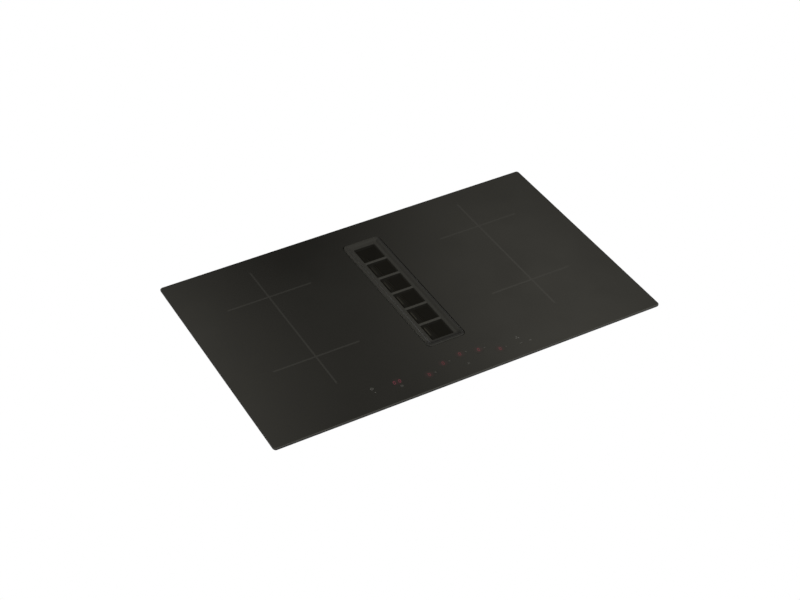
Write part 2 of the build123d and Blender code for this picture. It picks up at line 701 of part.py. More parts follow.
# ---------------------------------------------------------------- induction zones
for name, side in SIDES.items():
    with BuildPart() as mica_sheet:
        with BuildSketch(Plane.XY.offset(WINDING_TOP)):
            with Locations((side * ZONE_X, PLATE_Y)):
                Rectangle(PLATE_W, PLATE_L)
        extrude(amount=MICA_T)
    save(mica_sheet, f"mica_sheet_{name}")

    with BuildPart() as coil_plate:
        with BuildSketch(Plane.XY.offset(PLATE_Z)):
            with Locations((side * ZONE_X, PLATE_Y)):
                Rectangle(PLATE_W, PLATE_L)
            for y in (ZONE_REAR_Y, ZONE_FRONT_Y):
                with Locations((side * ZONE_X, y)):
                    Circle(SENSOR_D / 4, mode=Mode.SUBTRACT)
        extrude(amount=PLATE_T)
        with BuildSketch(Plane.XY.offset(PAN_FLOOR_TOP)):
            with Locations((side * ZONE_X, PLATE_Y)):
                with GridLocations(PLATE_W - PLATE_T, LEG_PITCH, 2, 2):
                    Rectangle(PLATE_T, LEG_W)
        extrude(amount=PLATE_Z - PAN_FLOOR_TOP)
    save(coil_plate, f"coil_plate_{name}")

for name, (x, y) in ZONES.items():
    with BuildPart() as winding:
        with BuildSketch(Plane.XY.offset(CARRIER_TOP)):
            with Locations((x, y)):
                Circle(COIL_D / 2)
                Circle(COIL_SPLIT_D / 2 + COIL_SPLIT_GAP, mode=Mode.SUBTRACT)
                Circle(COIL_SPLIT_D / 2)
                Circle(COIL_BORE / 2, mode=Mode.SUBTRACT)
        extrude(amount=WINDING_T)
    save(winding, f"winding_{name}")

    with BuildPart() as coil_carrier:
        with BuildSketch(Plane.XY.offset(FERRITE_TOP)):
            with Locations((x, y)):
                Circle(COIL_D / 2 + FERRITE_T)
                Circle(COIL_BORE / 2, mode=Mode.SUBTRACT)
                hole_r = (COIL_D + COIL_SPLIT_D) / 4
                with PolarLocations(hole_r, FERRITE_COUNT, start_angle=180 / FERRITE_COUNT):
                    Circle(FERRITE_W / 2, mode=Mode.SUBTRACT)
        extrude(amount=CARRIER_T)
    save(coil_carrier, f"coil_carrier_{name}")

    with BuildPart() as ferrites:
        with BuildSketch(Plane.XY.offset(PLATE_TOP)):
            with Locations((x, y)):
                with PolarLocations((COIL_D / 2 + COIL_BORE / 2) / 2 + FERRITE_T, FERRITE_COUNT):
                    Rectangle((COIL_D - COIL_BORE) / 2 - 2 * FERRITE_T, FERRITE_W)
        extrude(amount=FERRITE_T)
    save(ferrites, f"ferrites_{name}")

# A temperature probe stands in the bore of each coil, pressed against the mica.
with BuildPart() as zone_sensors:
    for x, y in ZONES.values():
        with Locations((x, y, PLATE_TOP)):
            Cylinder(SENSOR_FLANGE_D / 2, SENSOR_FLANGE_T, align=FROM_BELOW)
            Cylinder(SENSOR_D / 2, WINDING_TOP - PLATE_TOP, align=FROM_BELOW)
save(zone_sensors, "zone_sensors")

# ---------------------------------------------------------------- power electronics
POST_X = BOARD_W / 2 - POST_D
POST_Y = BOARD_L / 2 - POST_D
with BuildPart() as board_posts:
    for side in SIDES.values():
        with Locations((side * BOARD_X, PLATE_Y, PAN_FLOOR_TOP)):
            with GridLocations(2 * POST_X, 2 * POST_Y, 2, 2):
                Cylinder(POST_D / 2, POST_H, align=FROM_BELOW)
save(board_posts, "board_posts")

SINK_X = BOARD_X + (BOARD_W - SINK_W) / 2 - POST_D
FIN_PITCH = (SINK_W - FIN_T) / (SINK_FINS - 1)
for name, side in SIDES.items():
    with BuildPart() as power_board:
        with BuildSketch(Plane.XY.offset(BOARD_Z)):
            with Locations((side * BOARD_X, PLATE_Y)):
                Rectangle(BOARD_W, BOARD_L)
        extrude(amount=BOARD_T)
    save(power_board, f"power_board_{name}")

    with BuildPart() as heat_sink:
        with BuildSketch(Plane.XZ.offset(-PLATE_Y - SINK_L / 2)):
            with Locations((side * SINK_X, BOARD_TOP)):
                Rectangle(SINK_W, SINK_BASE_T, align=(Align.CENTER, Align.MIN))
                with GridLocations(FIN_PITCH, 0, SINK_FINS, 1):
                    Rectangle(FIN_T, SINK_H, align=(Align.CENTER, Align.MIN))
        extrude(amount=SINK_L)
    save(heat_sink, f"heat_sink_{name}")

    with BuildPart() as board_components:
        capacitor_w, capacitor_l, capacitor_h = CAPACITOR_SIZE
        row_room = BOARD_W - SINK_W - 2 * POST_D
        row_gap = (row_room - capacitor_w - CHOKE_D - RELAY_D) / 4
        capacitor_x = BOARD_INNER_X + POST_D + row_gap + capacitor_w / 2
        choke_x = capacitor_x + capacitor_w / 2 + row_gap + CHOKE_D / 2
        relay_x = choke_x + CHOKE_D / 2 + row_gap + RELAY_D / 2
        with Locations((side * capacitor_x, PLATE_Y, BOARD_TOP)):
            with GridLocations(0, (SINK_L - capacitor_l) / (CAPACITOR_COUNT - 1), 1, CAPACITOR_COUNT):
                Box(capacitor_w, capacitor_l, capacitor_h, align=FROM_BELOW)
        with Locations((side * choke_x, PLATE_Y, BOARD_TOP)):
            with GridLocations(0, (SINK_L - CHOKE_D) / (CHOKE_COUNT - 1), 1, CHOKE_COUNT):
                Cylinder(CHOKE_D / 2, CHOKE_H, align=FROM_BELOW)
        with Locations((side * relay_x, PLATE_Y, BOARD_TOP)):
            with GridLocations(0, (SINK_L - RELAY_D) / (RELAY_COUNT - 1), 1, RELAY_COUNT):
                Cylinder(RELAY_D / 2, RELAY_H, align=FROM_BELOW)
    save(board_components, f"board_components_{name}")

# Axial fans on the pan's floor draw air through the vents and blow it over the boards.
AXIAL_BORE_R = AXIAL_SIZE / 2 - AXIAL_WALL
AXIAL_TIP_R = AXIAL_BORE_R - AXIAL_TIP_GAP
AXIAL_HUB_R = AXIAL_HUB_D / 2
ROTOR_Z = PAN_FLOOR_TOP + SPIDER_T + ROTOR_GAP
ROTOR_H = AXIAL_T - SPIDER_T - 3 * ROTOR_GAP
for name, side in SIDES.items():
    centre = (side * AXIAL_X, AXIAL_Y)
    with BuildPart() as fan_frame:
        with BuildSketch(Plane.XY.offset(PAN_FLOOR_TOP)):
            with Locations(centre):
                RectangleRounded(AXIAL_SIZE, AXIAL_SIZE, AXIAL_CORNER_R)
                Circle(AXIAL_BORE_R, mode=Mode.SUBTRACT)
        extrude(amount=AXIAL_T)
        with BuildSketch(Plane.XY.offset(PAN_FLOOR_TOP)):
            with Locations(centre):
                Circle(AXIAL_HUB_R)
                with PolarLocations((AXIAL_HUB_R + AXIAL_BORE_R) / 2, 3):
                    Rectangle(AXIAL_BORE_R - AXIAL_HUB_R + AXIAL_WALL, AXIAL_SPOKE_W)
                Circle(PIN_D / 2 + RUN_CLEAR, mode=Mode.SUBTRACT)
        extrude(amount=SPIDER_T)
    save(fan_frame, f"fan_frame_{name}")

    with BuildPart() as fan_rotor:
        with Locations((*centre, ROTOR_Z)):
            Cylinder(AXIAL_HUB_R, ROTOR_H, align=FROM_BELOW)
        with Locations((*centre, ROTOR_Z)):
            Cylinder(PIN_D / 2, SPIDER_T, align=FROM_ABOVE)
        for i in range(AXIAL_BLADES):
            turn = 360.0 * i / AXIAL_BLADES
            spoke = Vector(math.cos(math.radians(turn)), math.sin(math.radians(turn)), 0)
            hub_middle = Vector(*centre, ROTOR_Z + ROTOR_H / 2)
            for reach, blade in ((AXIAL_HUB_R - AXIAL_WALL, AXIAL_ROOT), (AXIAL_TIP_R, AXIAL_TIP)):
                station = Plane(hub_middle + spoke * reach, x_dir=(-spoke.Y, spoke.X, 0), z_dir=spoke)
                with BuildSketch(station):
                    Rectangle(blade["width"], AXIAL_BLADE_T, rotation=blade["pitch"])
            loft()
        with Locations((*centre, ROTOR_Z)):
            Cylinder(AXIAL_TIP_R, 4 * ROTOR_H, mode=Mode.INTERSECT)
    save(fan_rotor, f"fan_rotor_{name}")

# ---------------------------------------------------------------- touch controls
HOLDER_W = CONTROL_W + 2 * HOLDER_RIM
HOLDER_D = CONTROL_D + 2 * HOLDER_RIM
HOLDER_Z = CONTROL_Z - HOLDER_T
with BuildPart() as control_holder:
    with BuildSketch(Plane.XY.offset(HOLDER_Z)):
        with Locations((CONTROL_X, CONTROL_Y)):
            RectangleRounded(HOLDER_W, HOLDER_D, HOLDER_RIM)
    extrude(amount=HOLDER_T + BOARD_T)
    with BuildSketch(Plane.XY.offset(CONTROL_Z)):
        with Locations((CONTROL_X, CONTROL_Y)):
            Rectangle(CONTROL_W, CONTROL_D)
    extrude(amount=BOARD_T, mode=Mode.SUBTRACT)
    with BuildSketch(Plane.XY.offset(HOLDER_Z)):
        with Locations((CONTROL_X, CONTROL_Y)):
            with GridLocations(HOLDER_W - 4 * HOLDER_RIM, HOLDER_D - 4 * HOLDER_RIM, 2, 2):
                Circle(HOLDER_FOOT_R)
    extrude(amount=PAN_FLOOR_TOP - HOLDER_Z)
save(control_holder, "control_holder")

with BuildPart() as control_board:
    with BuildSketch(Plane.XY.offset(CONTROL_Z)):
        with Locations((CONTROL_X, CONTROL_Y)):
            Rectangle(CONTROL_W, CONTROL_D)
    extrude(amount=BOARD_T)
save(control_board, "control_board")

CONTROL_LINE = Plane((0, CONTROL_Y, CONTROL_TOP))
with BuildPart(CONTROL_LINE) as displays:
    with Locations(*DIGIT_ARC):
        Box(*DIGIT_SIZE, CONTROL_DROP - DISPLAY_GAP, align=FROM_BELOW)
    with Locations(TIMER_AT):
        Box(*TIMER_SIZE, CONTROL_DROP - DISPLAY_GAP, align=FROM_BELOW)
save(displays, "displays")

with BuildPart() as touch_springs:
    spots = KEY_SPOTS + [(x + DOT_SIDE, y) for x, y in DIGIT_ARC]
    with BuildSketch(CONTROL_LINE):
        with Locations(*spots):
            Circle(SPRING_D / 2)
            Circle(SPRING_D / 2 - SPRING_WIRE, mode=Mode.SUBTRACT)
    extrude(amount=CONTROL_DROP)
save(touch_springs, "touch_springs")

# ---------------------------------------------------------------- blower housing
def tub_rim():
    """Plan of the rim on which tub and lid meet, with its screw lugs."""
    with Locations((TUB_X, TUB_Y)):
        RectangleRounded(TUB_W + 2 * TUB_RIM, TUB_L + 2 * TUB_RIM, TUB_R + TUB_RIM)
    lug_outlines(LUG_SPOTS, LUG_OUT)


with BuildPart() as fan_tub:
    with BuildSketch(Plane.XY.offset(BASE_Z)):
        with Locations((TUB_X, TUB_Y)):
            RectangleRounded(TUB_W, TUB_L, TUB_R)
    extrude(amount=LID_Z - BASE_Z)
    fillet(fan_tub.faces().sort_by(Axis.Z)[0].edges(), TUB_BASE_R)
    with BuildSketch(Plane.XY.offset(LID_Z - LUG_T)):
        tub_rim()
    extrude(amount=LUG_T)
    with BuildSketch(Plane.XY.offset(BASE_Z + 2 * TUB_BASE_R)):
        wall_ribs(TUB_X, TUB_FRONT_Y, TUB_W - 2 * RIB_PITCH, along_x=True)
        wall_ribs(TUB_RIGHT_X, TUB_Y, TUB_L - 2 * RIB_PITCH, along_x=False)
    extrude(amount=LID_Z - LUG_T - BASE_Z - 2 * TUB_BASE_R)
    with BuildSketch(Plane.XY.offset(BASE_Z + TUB_WALL)):
        with Locations((TUB_X, TUB_Y)):
            RectangleRounded(TUB_W - 2 * TUB_WALL, TUB_L - 2 * TUB_WALL, TUB_R - TUB_WALL)
    extrude(amount=LID_Z - BASE_Z, mode=Mode.SUBTRACT)
    with BuildSketch(Plane.YZ.offset(TUB_LEFT_X)):
        with Locations((GRILLE_Y, WINDOW_Z)):
            RectangleRounded(WINDOW_L, WINDOW_H, WINDOW_R)
    extrude(amount=2 * TUB_WALL, mode=Mode.SUBTRACT)
    with BuildSketch(Plane.XZ.offset(-TUB_REAR_Y)):
        with Locations((TUB_X, SPIGOT_Z)):
            RectangleRounded(OUTLET_W, OUTLET_H, SPIGOT_R - SPIGOT_WALL)
    extrude(amount=2 * TUB_WALL, mode=Mode.SUBTRACT)
    with Locations(*lug_centres(LUG_SPOTS, LUG_OUT, LID_Z)):
        Hole(SCREW_D / 2 + HOLE_CLEAR, depth=LUG_T)
save(fan_tub, "fan_tub")

with BuildPart() as fan_lid:
    with BuildSketch(Plane.XY.offset(LID_Z)):
        tub_rim()
    extrude(amount=LID_T)
    with Locations(*lug_centres(LUG_SPOTS, LUG_OUT, PAN_Z)):
        Hole(SCREW_D / 2 + HOLE_CLEAR, depth=LID_T)
    with Locations((FAN_X, FAN_Y, PAN_Z)):
        with PolarLocations(MOTOR_EAR_R, len(MOTOR_EAR_ANGLES), start_angle=MOTOR_EAR_ANGLES[0]):
            Hole(SCREW_D / 2 + RUN_CLEAR, depth=LID_T)
save(fan_lid, "fan_lid")

with BuildPart() as duct_seal:
    with BuildSketch(Plane.YZ.offset(WELL_SIDE_X)):
        with Locations((GRILLE_Y, WINDOW_Z)):
            RectangleRounded(WINDOW_L + 2 * WINDOW_R, WINDOW_H + 2 * WINDOW_R, 2 * WINDOW_R)
            RectangleRounded(WINDOW_L, WINDOW_H, WINDOW_R, mode=Mode.SUBTRACT)
    extrude(amount=TUB_GAP)
save(duct_seal, "duct_seal")

SCROLL_REAR_Y = TUB_REAR_Y - TUB_WALL - SCROLL_WALL


def scroll_passage():
    """Plan of the air passage: quarter arcs that widen by one step each, then the diffuser."""
    tongue = (FAN_X + TONGUE_X, FAN_Y + SCROLL_R)
    with BuildLine() as passage:
        Line(tongue, (FAN_X, FAN_Y + SCROLL_R))
        first = JernArc((FAN_X, FAN_Y + SCROLL_R), (-1, 0), SCROLL_R, 90)
        second = JernArc(first @ 1, first % 1, SCROLL_R + SCROLL_STEP, 90)
        third = JernArc(second @ 1, second % 1, SCROLL_R + 2 * SCROLL_STEP, 90)
        right_x = (third @ 1).X
        left_x = TUB_X - OUTLET_W / 2
        Line(third @ 1, (right_x, SCROLL_REAR_Y))
        Line((right_x, SCROLL_REAR_Y), (left_x, SCROLL_REAR_Y))
        Line((left_x, SCROLL_REAR_Y), tongue)
    make_face(passage.edges())


with BuildPart() as scroll_shell:
    with BuildSketch(Plane.XY.offset(SCROLL_Z)):
        scroll_passage()
        offset(amount=SCROLL_WALL, kind=Kind.INTERSECTION)
        with Locations((FAN_X, FAN_Y)):
            Circle(INLET_R - INLET_T + INLET_BELL_R, mode=Mode.SUBTRACT)
    extrude(amount=LID_Z - SCROLL_Z)
    with BuildSketch(Plane.XY.offset(SCROLL_FLOOR_TOP)):
        scroll_passage()
    extrude(amount=LID_Z - SCROLL_FLOOR_TOP, mode=Mode.SUBTRACT)
    with BuildSketch(Plane.XZ.offset(-SCROLL_REAR_Y - SCROLL_WALL)):
        with Locations((TUB_X, SPIGOT_Z)):
            Rectangle(OUTLET_W, OUTLET_H)
    extrude(amount=2 * SCROLL_WALL, mode=Mode.SUBTRACT)
    with BuildSketch(Plane.XY.offset(BASE_Z + TUB_WALL)):
        with Locations((FAN_X, FAN_Y)):
            with PolarLocations(EYE_R + INLET_RIM + FOOT_D, 4, start_angle=45):
                Circle(FOOT_D / 2)
    extrude(amount=SCROLL_Z - BASE_Z - TUB_WALL)
save(scroll_shell, "scroll_shell")

# The bell-mouth reaches through the scroll's floor into the eye of the impeller.
FAN_SECTION = Plane(origin=(FAN_X, FAN_Y, 0), x_dir=(1, 0, 0), z_dir=(0, -1, 0))
FAN_AXIS = Axis((FAN_X, FAN_Y, 0), (0, 0, 1))
with BuildPart() as inlet_ring:
    with BuildSketch(FAN_SECTION):
        with BuildLine():
            lip_z = IMPELLER_Z + INLET_LIP
            under_z = SCROLL_Z - INLET_T
            throat_r = INLET_R - INLET_T
            rim_r = throat_r + INLET_BELL_R + INLET_RIM
            bell_r = throat_r + INLET_BELL_R
            bell_z = under_z + INLET_BELL_R
            slant = math.sqrt(0.5)
            outer_r = INLET_BELL_R - INLET_T
            ThreePointArc(
                (bell_r, under_z),
                (bell_r - INLET_BELL_R * slant, bell_z - INLET_BELL_R * slant),
                (throat_r, bell_z),
            )
            Polyline((throat_r, bell_z), (throat_r, lip_z), (INLET_R, lip_z), (INLET_R, bell_z))
            ThreePointArc(
                (INLET_R, bell_z),
                (bell_r - outer_r * slant, bell_z - outer_r * slant),
                (bell_r, SCROLL_Z),
            )
            Polyline((bell_r, SCROLL_Z), (rim_r, SCROLL_Z), (rim_r, under_z), (bell_r, under_z))
        make_face()
    revolve(axis=FAN_AXIS)
save(inlet_ring, "inlet_ring")

def fan_point(radius, angle):
    """Point in plan at a radius and an angle in degrees round the blower's axis."""
    turn = math.radians(angle)
    return (FAN_X + radius * math.cos(turn), FAN_Y + radius * math.sin(turn))


# Backward-curved blades between a back plate and a ring shroud
with BuildPart() as impeller:
    with Locations((FAN_X, FAN_Y, IMPELLER_TOP_Z)):
        Cylinder(IMPELLER_D / 2, SHROUD_T, align=FROM_ABOVE)
        Cylinder(HUB_D / 2, HUB_H, align=FROM_ABOVE)
    with BuildSketch(Plane.XY.offset(IMPELLER_Z)):
        with Locations((FAN_X, FAN_Y)):
            Circle(IMPELLER_D / 2)
            Circle(EYE_R, mode=Mode.SUBTRACT)
    extrude(amount=SHROUD_T)
    with BuildSketch(Plane.XY.offset(IMPELLER_Z + SHROUD_T)):
        for i in range(BLADE_COUNT):
            root_angle = 360.0 * i / BLADE_COUNT
            root = fan_point(EYE_R - BLADE_ROOT, root_angle)
            tip = fan_point(IMPELLER_D / 2 - BLADE_T / 2, root_angle - BLADE_SWEEP)
            with BuildLine(mode=Mode.PRIVATE) as camber:
                RadiusArc(root, tip, -BLADE_CAMBER_R)
            trace(camber.line, BLADE_T)
    extrude(amount=IMPELLER_H - 2 * SHROUD_T)
    with Locations((FAN_X, FAN_Y, IMPELLER_TOP_Z)):
        Hole(SHAFT_D / 2, depth=IMPELLER_H)
save(impeller, "impeller")

with BuildPart() as motor:
    with Locations((FAN_X, FAN_Y, MOTOR_Z)):
        Cylinder(MOTOR_D / 2, MOTOR_TOP - MOTOR_Z, align=FROM_BELOW)
    fillet(motor.faces().sort_by(Axis.Z)[0].edges(), MOTOR_EDGE_R)
    with Locations((FAN_X, FAN_Y, (MOTOR_TOP + MOTOR_Z) / 2)):
        with PolarLocations(MOTOR_D / 2, MOTOR_SLOTS):
            Box(2 * MOTOR_SLOT_DEEP, MOTOR_SLOT_W, MOTOR_SLOT_H, mode=Mode.SUBTRACT)
    with BuildSketch(Plane.XY.offset(MOTOR_TOP - MOTOR_EAR_T)):
        with Locations((FAN_X, FAN_Y)):
            with PolarLocations(MOTOR_EAR_R, len(MOTOR_EAR_ANGLES), start_angle=MOTOR_EAR_ANGLES[0]):
                Circle(GROMMET_D / 2)
            with PolarLocations(MOTOR_EAR_R / 2, len(MOTOR_EAR_ANGLES), start_angle=MOTOR_EAR_ANGLES[0]):
                Rectangle(MOTOR_EAR_R, GROMMET_D)
    extrude(amount=MOTOR_EAR_T)
    with Locations((FAN_X, FAN_Y, MOTOR_TOP)):
        with PolarLocations(MOTOR_EAR_R, len(MOTOR_EAR_ANGLES), start_angle=MOTOR_EAR_ANGLES[0]):
            Hole(SCREW_D / 2 + HOLE_CLEAR, depth=MOTOR_EAR_T)
    with Locations((FAN_X, FAN_Y, MOTOR_Z)):
        Cylinder(SHAFT_D / 2 + RUN_CLEAR, SHAFT_SEAT + RUN_CLEAR, align=FROM_BELOW, mode=Mode.SUBTRACT)
save(motor, "motor")

with BuildPart() as motor_grommets:
    with BuildSketch(Plane.XY.offset(MOTOR_TOP)):
        with Locations((FAN_X, FAN_Y)):
            with PolarLocations(MOTOR_EAR_R, len(MOTOR_EAR_ANGLES), start_angle=MOTOR_EAR_ANGLES[0]):
                Circle(GROMMET_D / 2)
                Circle(SCREW_D / 2 + HOLE_CLEAR, mode=Mode.SUBTRACT)
    extrude(amount=GROMMET_T)
save(motor_grommets, "motor_grommets")

with BuildPart() as motor_shaft:
    with Locations((FAN_X, FAN_Y, MOTOR_Z + SHAFT_SEAT)):
        Cylinder(SHAFT_D / 2, SHAFT_SEAT + MOTOR_GAP + HUB_H + SHROUD_T, align=FROM_ABOVE)
save(motor_shaft, "motor_shaft")

with BuildPart() as outlet_spigot:
    with BuildSketch(Plane.XZ.offset(-TUB_REAR_Y)):
        with Locations((TUB_X, SPIGOT_Z)):
            RectangleRounded(SPIGOT_W + 2 * SPIGOT_FLANGE, SPIGOT_H + 2 * SPIGOT_FLANGE, SPIGOT_R)
    extrude(amount=-SPIGOT_FLANGE_T)
    with BuildSketch(Plane.XZ.offset(-TUB_REAR_Y)):
        with Locations((TUB_X, SPIGOT_Z)):
            RectangleRounded(SPIGOT_W, SPIGOT_H, SPIGOT_R)
    extrude(amount=-SPIGOT_L)
    with BuildSketch(Plane.XZ.offset(-TUB_REAR_Y)):
        with Locations((TUB_X, SPIGOT_Z)):
            RectangleRounded(OUTLET_W, OUTLET_H, SPIGOT_R - SPIGOT_WALL)
    extrude(amount=-SPIGOT_L, mode=Mode.SUBTRACT)
    gusset_x = (GUSSET_COUNT - 1) * GUSSET_PITCH / 2
    for i in range(GUSSET_COUNT):
        for up in (-1, 1):
            wall_z = SPIGOT_Z + up * SPIGOT_H / 2
            with BuildSketch(Plane.YZ.offset(TUB_X - gusset_x + i * GUSSET_PITCH)):
                with BuildLine():
                    Polyline(
                        (TUB_REAR_Y + SPIGOT_FLANGE_T, wall_z),
                        (TUB_REAR_Y + SPIGOT_FLANGE_T + GUSSET_L, wall_z),
                        (TUB_REAR_Y + SPIGOT_FLANGE_T, wall_z + up * GUSSET_H),
                        close=True,
                    )
                make_face()
            extrude(amount=GUSSET_T / 2, both=True)
save(outlet_spigot, "outlet_spigot")

# ---------------------------------------------------------------- mains connection
TERMINAL_Z = PAN_Z - TERMINAL_H
BUSH_Z = PAN_Z - TERMINAL_H / 2
with BuildPart() as terminal_box:
    with BuildSketch(Plane.XY.offset(TERMINAL_Z)):
        with Locations((TERMINAL_X, TERMINAL_Y)):
            RectangleRounded(TERMINAL_W, TERMINAL_L, TERMINAL_R)
            RectangleRounded(
                TERMINAL_W - 2 * TERMINAL_WALL,
                TERMINAL_L - 2 * TERMINAL_WALL,
                TERMINAL_R - TERMINAL_WALL,
                mode=Mode.SUBTRACT,
            )
    extrude(amount=TERMINAL_H)
    with BuildSketch(Plane.XY.offset(PAN_Z)):
        with Locations((TERMINAL_X, TERMINAL_Y)):
            RectangleRounded(TERMINAL_W, TERMINAL_L, TERMINAL_R)
            Circle(BUSH_D / 2, mode=Mode.SUBTRACT)
    extrude(amount=-TERMINAL_WALL)
    with BuildSketch(Plane.XZ.offset(-TERMINAL_Y - TERMINAL_L / 2)):
        with Locations((TERMINAL_X, BUSH_Z)):
            Circle(BUSH_D / 2 - BUSH_SHOULDER)
    extrude(amount=2 * TERMINAL_WALL, mode=Mode.SUBTRACT)
save(terminal_box, "terminal_box")

with BuildPart() as terminal_lid:
    with BuildSketch(Plane.XY.offset(TERMINAL_Z)):
        with Locations((TERMINAL_X, TERMINAL_Y)):
            RectangleRounded(TERMINAL_W, TERMINAL_L, TERMINAL_R)
    extrude(amount=-TERMINAL_WALL)
    with BuildSketch(Plane.XY.offset(TERMINAL_Z)):
        with Locations((TERMINAL_X, TERMINAL_Y)):
            inner_w = TERMINAL_W - 2 * TERMINAL_WALL - 2 * HOLE_CLEAR
            inner_l = TERMINAL_L - 2 * TERMINAL_WALL - 2 * HOLE_CLEAR
            RectangleRounded(inner_w, inner_l, TERMINAL_R - TERMINAL_WALL)
            Rectangle(inner_w - 2 * TERMINAL_WALL, inner_l - 2 * TERMINAL_WALL, mode=Mode.SUBTRACT)
    extrude(amount=TERMINAL_WALL)
save(terminal_lid, "terminal_lid")

with BuildPart() as terminal_block:
    with Locations((TERMINAL_X, TERMINAL_Y - TERMINAL_L / 4, PAN_Z - TERMINAL_WALL)):
        Box(*BLOCK_SIZE, align=FROM_ABOVE)
    with Locations((TERMINAL_X, TERMINAL_Y - TERMINAL_L / 4, PAN_Z - TERMINAL_WALL - BLOCK_SIZE[2])):
        with GridLocations(BLOCK_SIZE[0] / WIRE_COUNT, 0, WIRE_COUNT, 1):
            Cylinder(WIRE_HOLE_D / 2, BLOCK_SIZE[2] / 2, align=FROM_BELOW, mode=Mode.SUBTRACT)
save(terminal_block, "terminal_block")

with BuildPart() as cable_bush:
    with BuildSketch(Plane.XZ.offset(-TERMINAL_Y - TERMINAL_L / 2)):
        with Locations((TERMINAL_X, BUSH_Z)):
            Circle(BUSH_D / 2)
            Circle(BUSH_BORE_D / 2, mode=Mode.SUBTRACT)
    extrude(amount=-(BUSH_L - 2 * TERMINAL_WALL))
    with BuildSketch(Plane.XZ.offset(-TERMINAL_Y - TERMINAL_L / 2)):
        with Locations((TERMINAL_X, BUSH_Z)):
            Circle(BUSH_D / 2 - BUSH_SHOULDER)
            Circle(BUSH_BORE_D / 2, mode=Mode.SUBTRACT)
    extrude(amount=2 * TERMINAL_WALL)
save(cable_bush, "cable_bush")

# ---------------------------------------------------------------- fasteners
with BuildPart() as housing_screws:
    tub_heads = lug_centres(LUG_SPOTS, LUG_OUT, LID_Z - LUG_T)
    well_heads = lug_centres(WELL_LUG_SPOTS, WELL_LUG_OUT, PAN_Z - LUG_T)
    ear_z = MOTOR_TOP - MOTOR_EAR_T
    ear_heads = [(*fan_point(MOTOR_EAR_R, angle), ear_z) for angle in MOTOR_EAR_ANGLES]
    with Locations(*tub_heads, *well_heads, *ear_heads):
        Cylinder(SCREW_HEAD_D / 2, SCREW_HEAD_H, align=FROM_ABOVE)
    with Locations(*tub_heads):
        Cylinder(SCREW_D / 2, LUG_T + LID_T + SHEET_T + SCREW_TIP, align=FROM_BELOW)
    with Locations(*well_heads):
        Cylinder(SCREW_D / 2, LUG_T + SHEET_T + SCREW_TIP, align=FROM_BELOW)
    with Locations(*ear_heads):
        Cylinder(SCREW_D / 2, MOTOR_EAR_T + GROMMET_T + LID_T, align=FROM_BELOW)
save(housing_screws, "housing_screws")
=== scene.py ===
"""Looks of a downdraft induction cooktop, built into a worktop.

Metres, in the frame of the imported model: the origin is the middle of the glass in plan, on
the worktop's top face. +X is the cook's right, +Y points to the wall and +Z is up.
"""
import math

import bpy
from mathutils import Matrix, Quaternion, Vector


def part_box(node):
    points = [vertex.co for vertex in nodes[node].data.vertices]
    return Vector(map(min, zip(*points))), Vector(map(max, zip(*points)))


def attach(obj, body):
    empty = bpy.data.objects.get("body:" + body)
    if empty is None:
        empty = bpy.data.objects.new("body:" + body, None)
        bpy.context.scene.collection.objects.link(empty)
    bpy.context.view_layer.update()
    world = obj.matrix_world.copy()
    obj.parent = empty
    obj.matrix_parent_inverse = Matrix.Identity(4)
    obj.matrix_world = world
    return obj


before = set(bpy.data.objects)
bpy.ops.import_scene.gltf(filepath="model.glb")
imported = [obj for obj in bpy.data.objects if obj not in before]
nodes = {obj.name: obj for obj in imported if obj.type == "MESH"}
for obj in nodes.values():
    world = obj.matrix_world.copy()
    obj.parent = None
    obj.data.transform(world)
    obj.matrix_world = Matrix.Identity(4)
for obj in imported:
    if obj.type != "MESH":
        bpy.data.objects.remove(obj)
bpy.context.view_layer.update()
MM = 0.001

# ---------------------------------------------------------------- levels and places
GLASS_LOW, GLASS_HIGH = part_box("glass_top")
GRILLE_LOW, GRILLE_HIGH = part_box("grille")
GRILLE_Y = (GRILLE_LOW.y + GRILLE_HIGH.y) / 2
GRILLE_HALF_L = (GRILLE_HIGH.y - GRILLE_LOW.y) / 2
GRILLE_CORNER_R = 8.0 * MM
BAR_PITCH = 54.4 * MM
OPENING_HALF_W = 23.0 * MM
OPENINGS_HALF_L = 160.0 * MM
BAR_TOP = GRILLE_HIGH.z - 3.2 * MM
BOARD_LOW, BOARD_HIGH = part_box("control_board")
CONTROL_Y = (BOARD_LOW.y + BOARD_HIGH.y) / 2
PRINT_T = 0.05 * MM

# ---------------------------------------------------------------- camera
CAMERA_AT = Vector((-1.2559, -2.2467, 2.0820))
CAMERA_AIM = Vector((-0.01612, 0.00307, 0.0))
CAMERA_ROLL = math.radians(-0.212)
CAMERA_LENS = 76.18
CAMERA_SENSOR = 36.0


def set_camera():
    """The photograph's view: from the cook's left, looking down at about 39 degrees."""
    camera = bpy.data.cameras.new("camera")
    camera.lens = CAMERA_LENS
    camera.sensor_width = CAMERA_SENSOR
    holder = bpy.data.objects.new("camera", camera)
    holder.location = CAMERA_AT
    level = (CAMERA_AIM - CAMERA_AT).to_track_quat("-Z", "Y")
    holder.rotation_euler = (level @ Quaternion((0, 0, 1), CAMERA_ROLL)).to_euler()
    bpy.context.scene.collection.objects.link(holder)
    bpy.context.scene.camera = holder


# ---------------------------------------------------------------- node helpers
def put(tree, kind, settings=None, **values):
    """A shader node in the tree. Values go to sockets by name, with _ for a space."""
    made = tree.nodes.new("ShaderNode" + kind)
    for name, value in (settings or {}).items():
        setattr(made, name, value)
    for name, value in values.items():
        feed(tree, made.inputs[name.replace("_", " ")], value)
    return made


def feed(tree, socket, value):
    """Links the value to the socket if it is a socket itself, or else sets it."""
    if isinstance(value, bpy.types.NodeSocket):
        tree.links.new(value, socket)
    else:
        socket.default_value = value


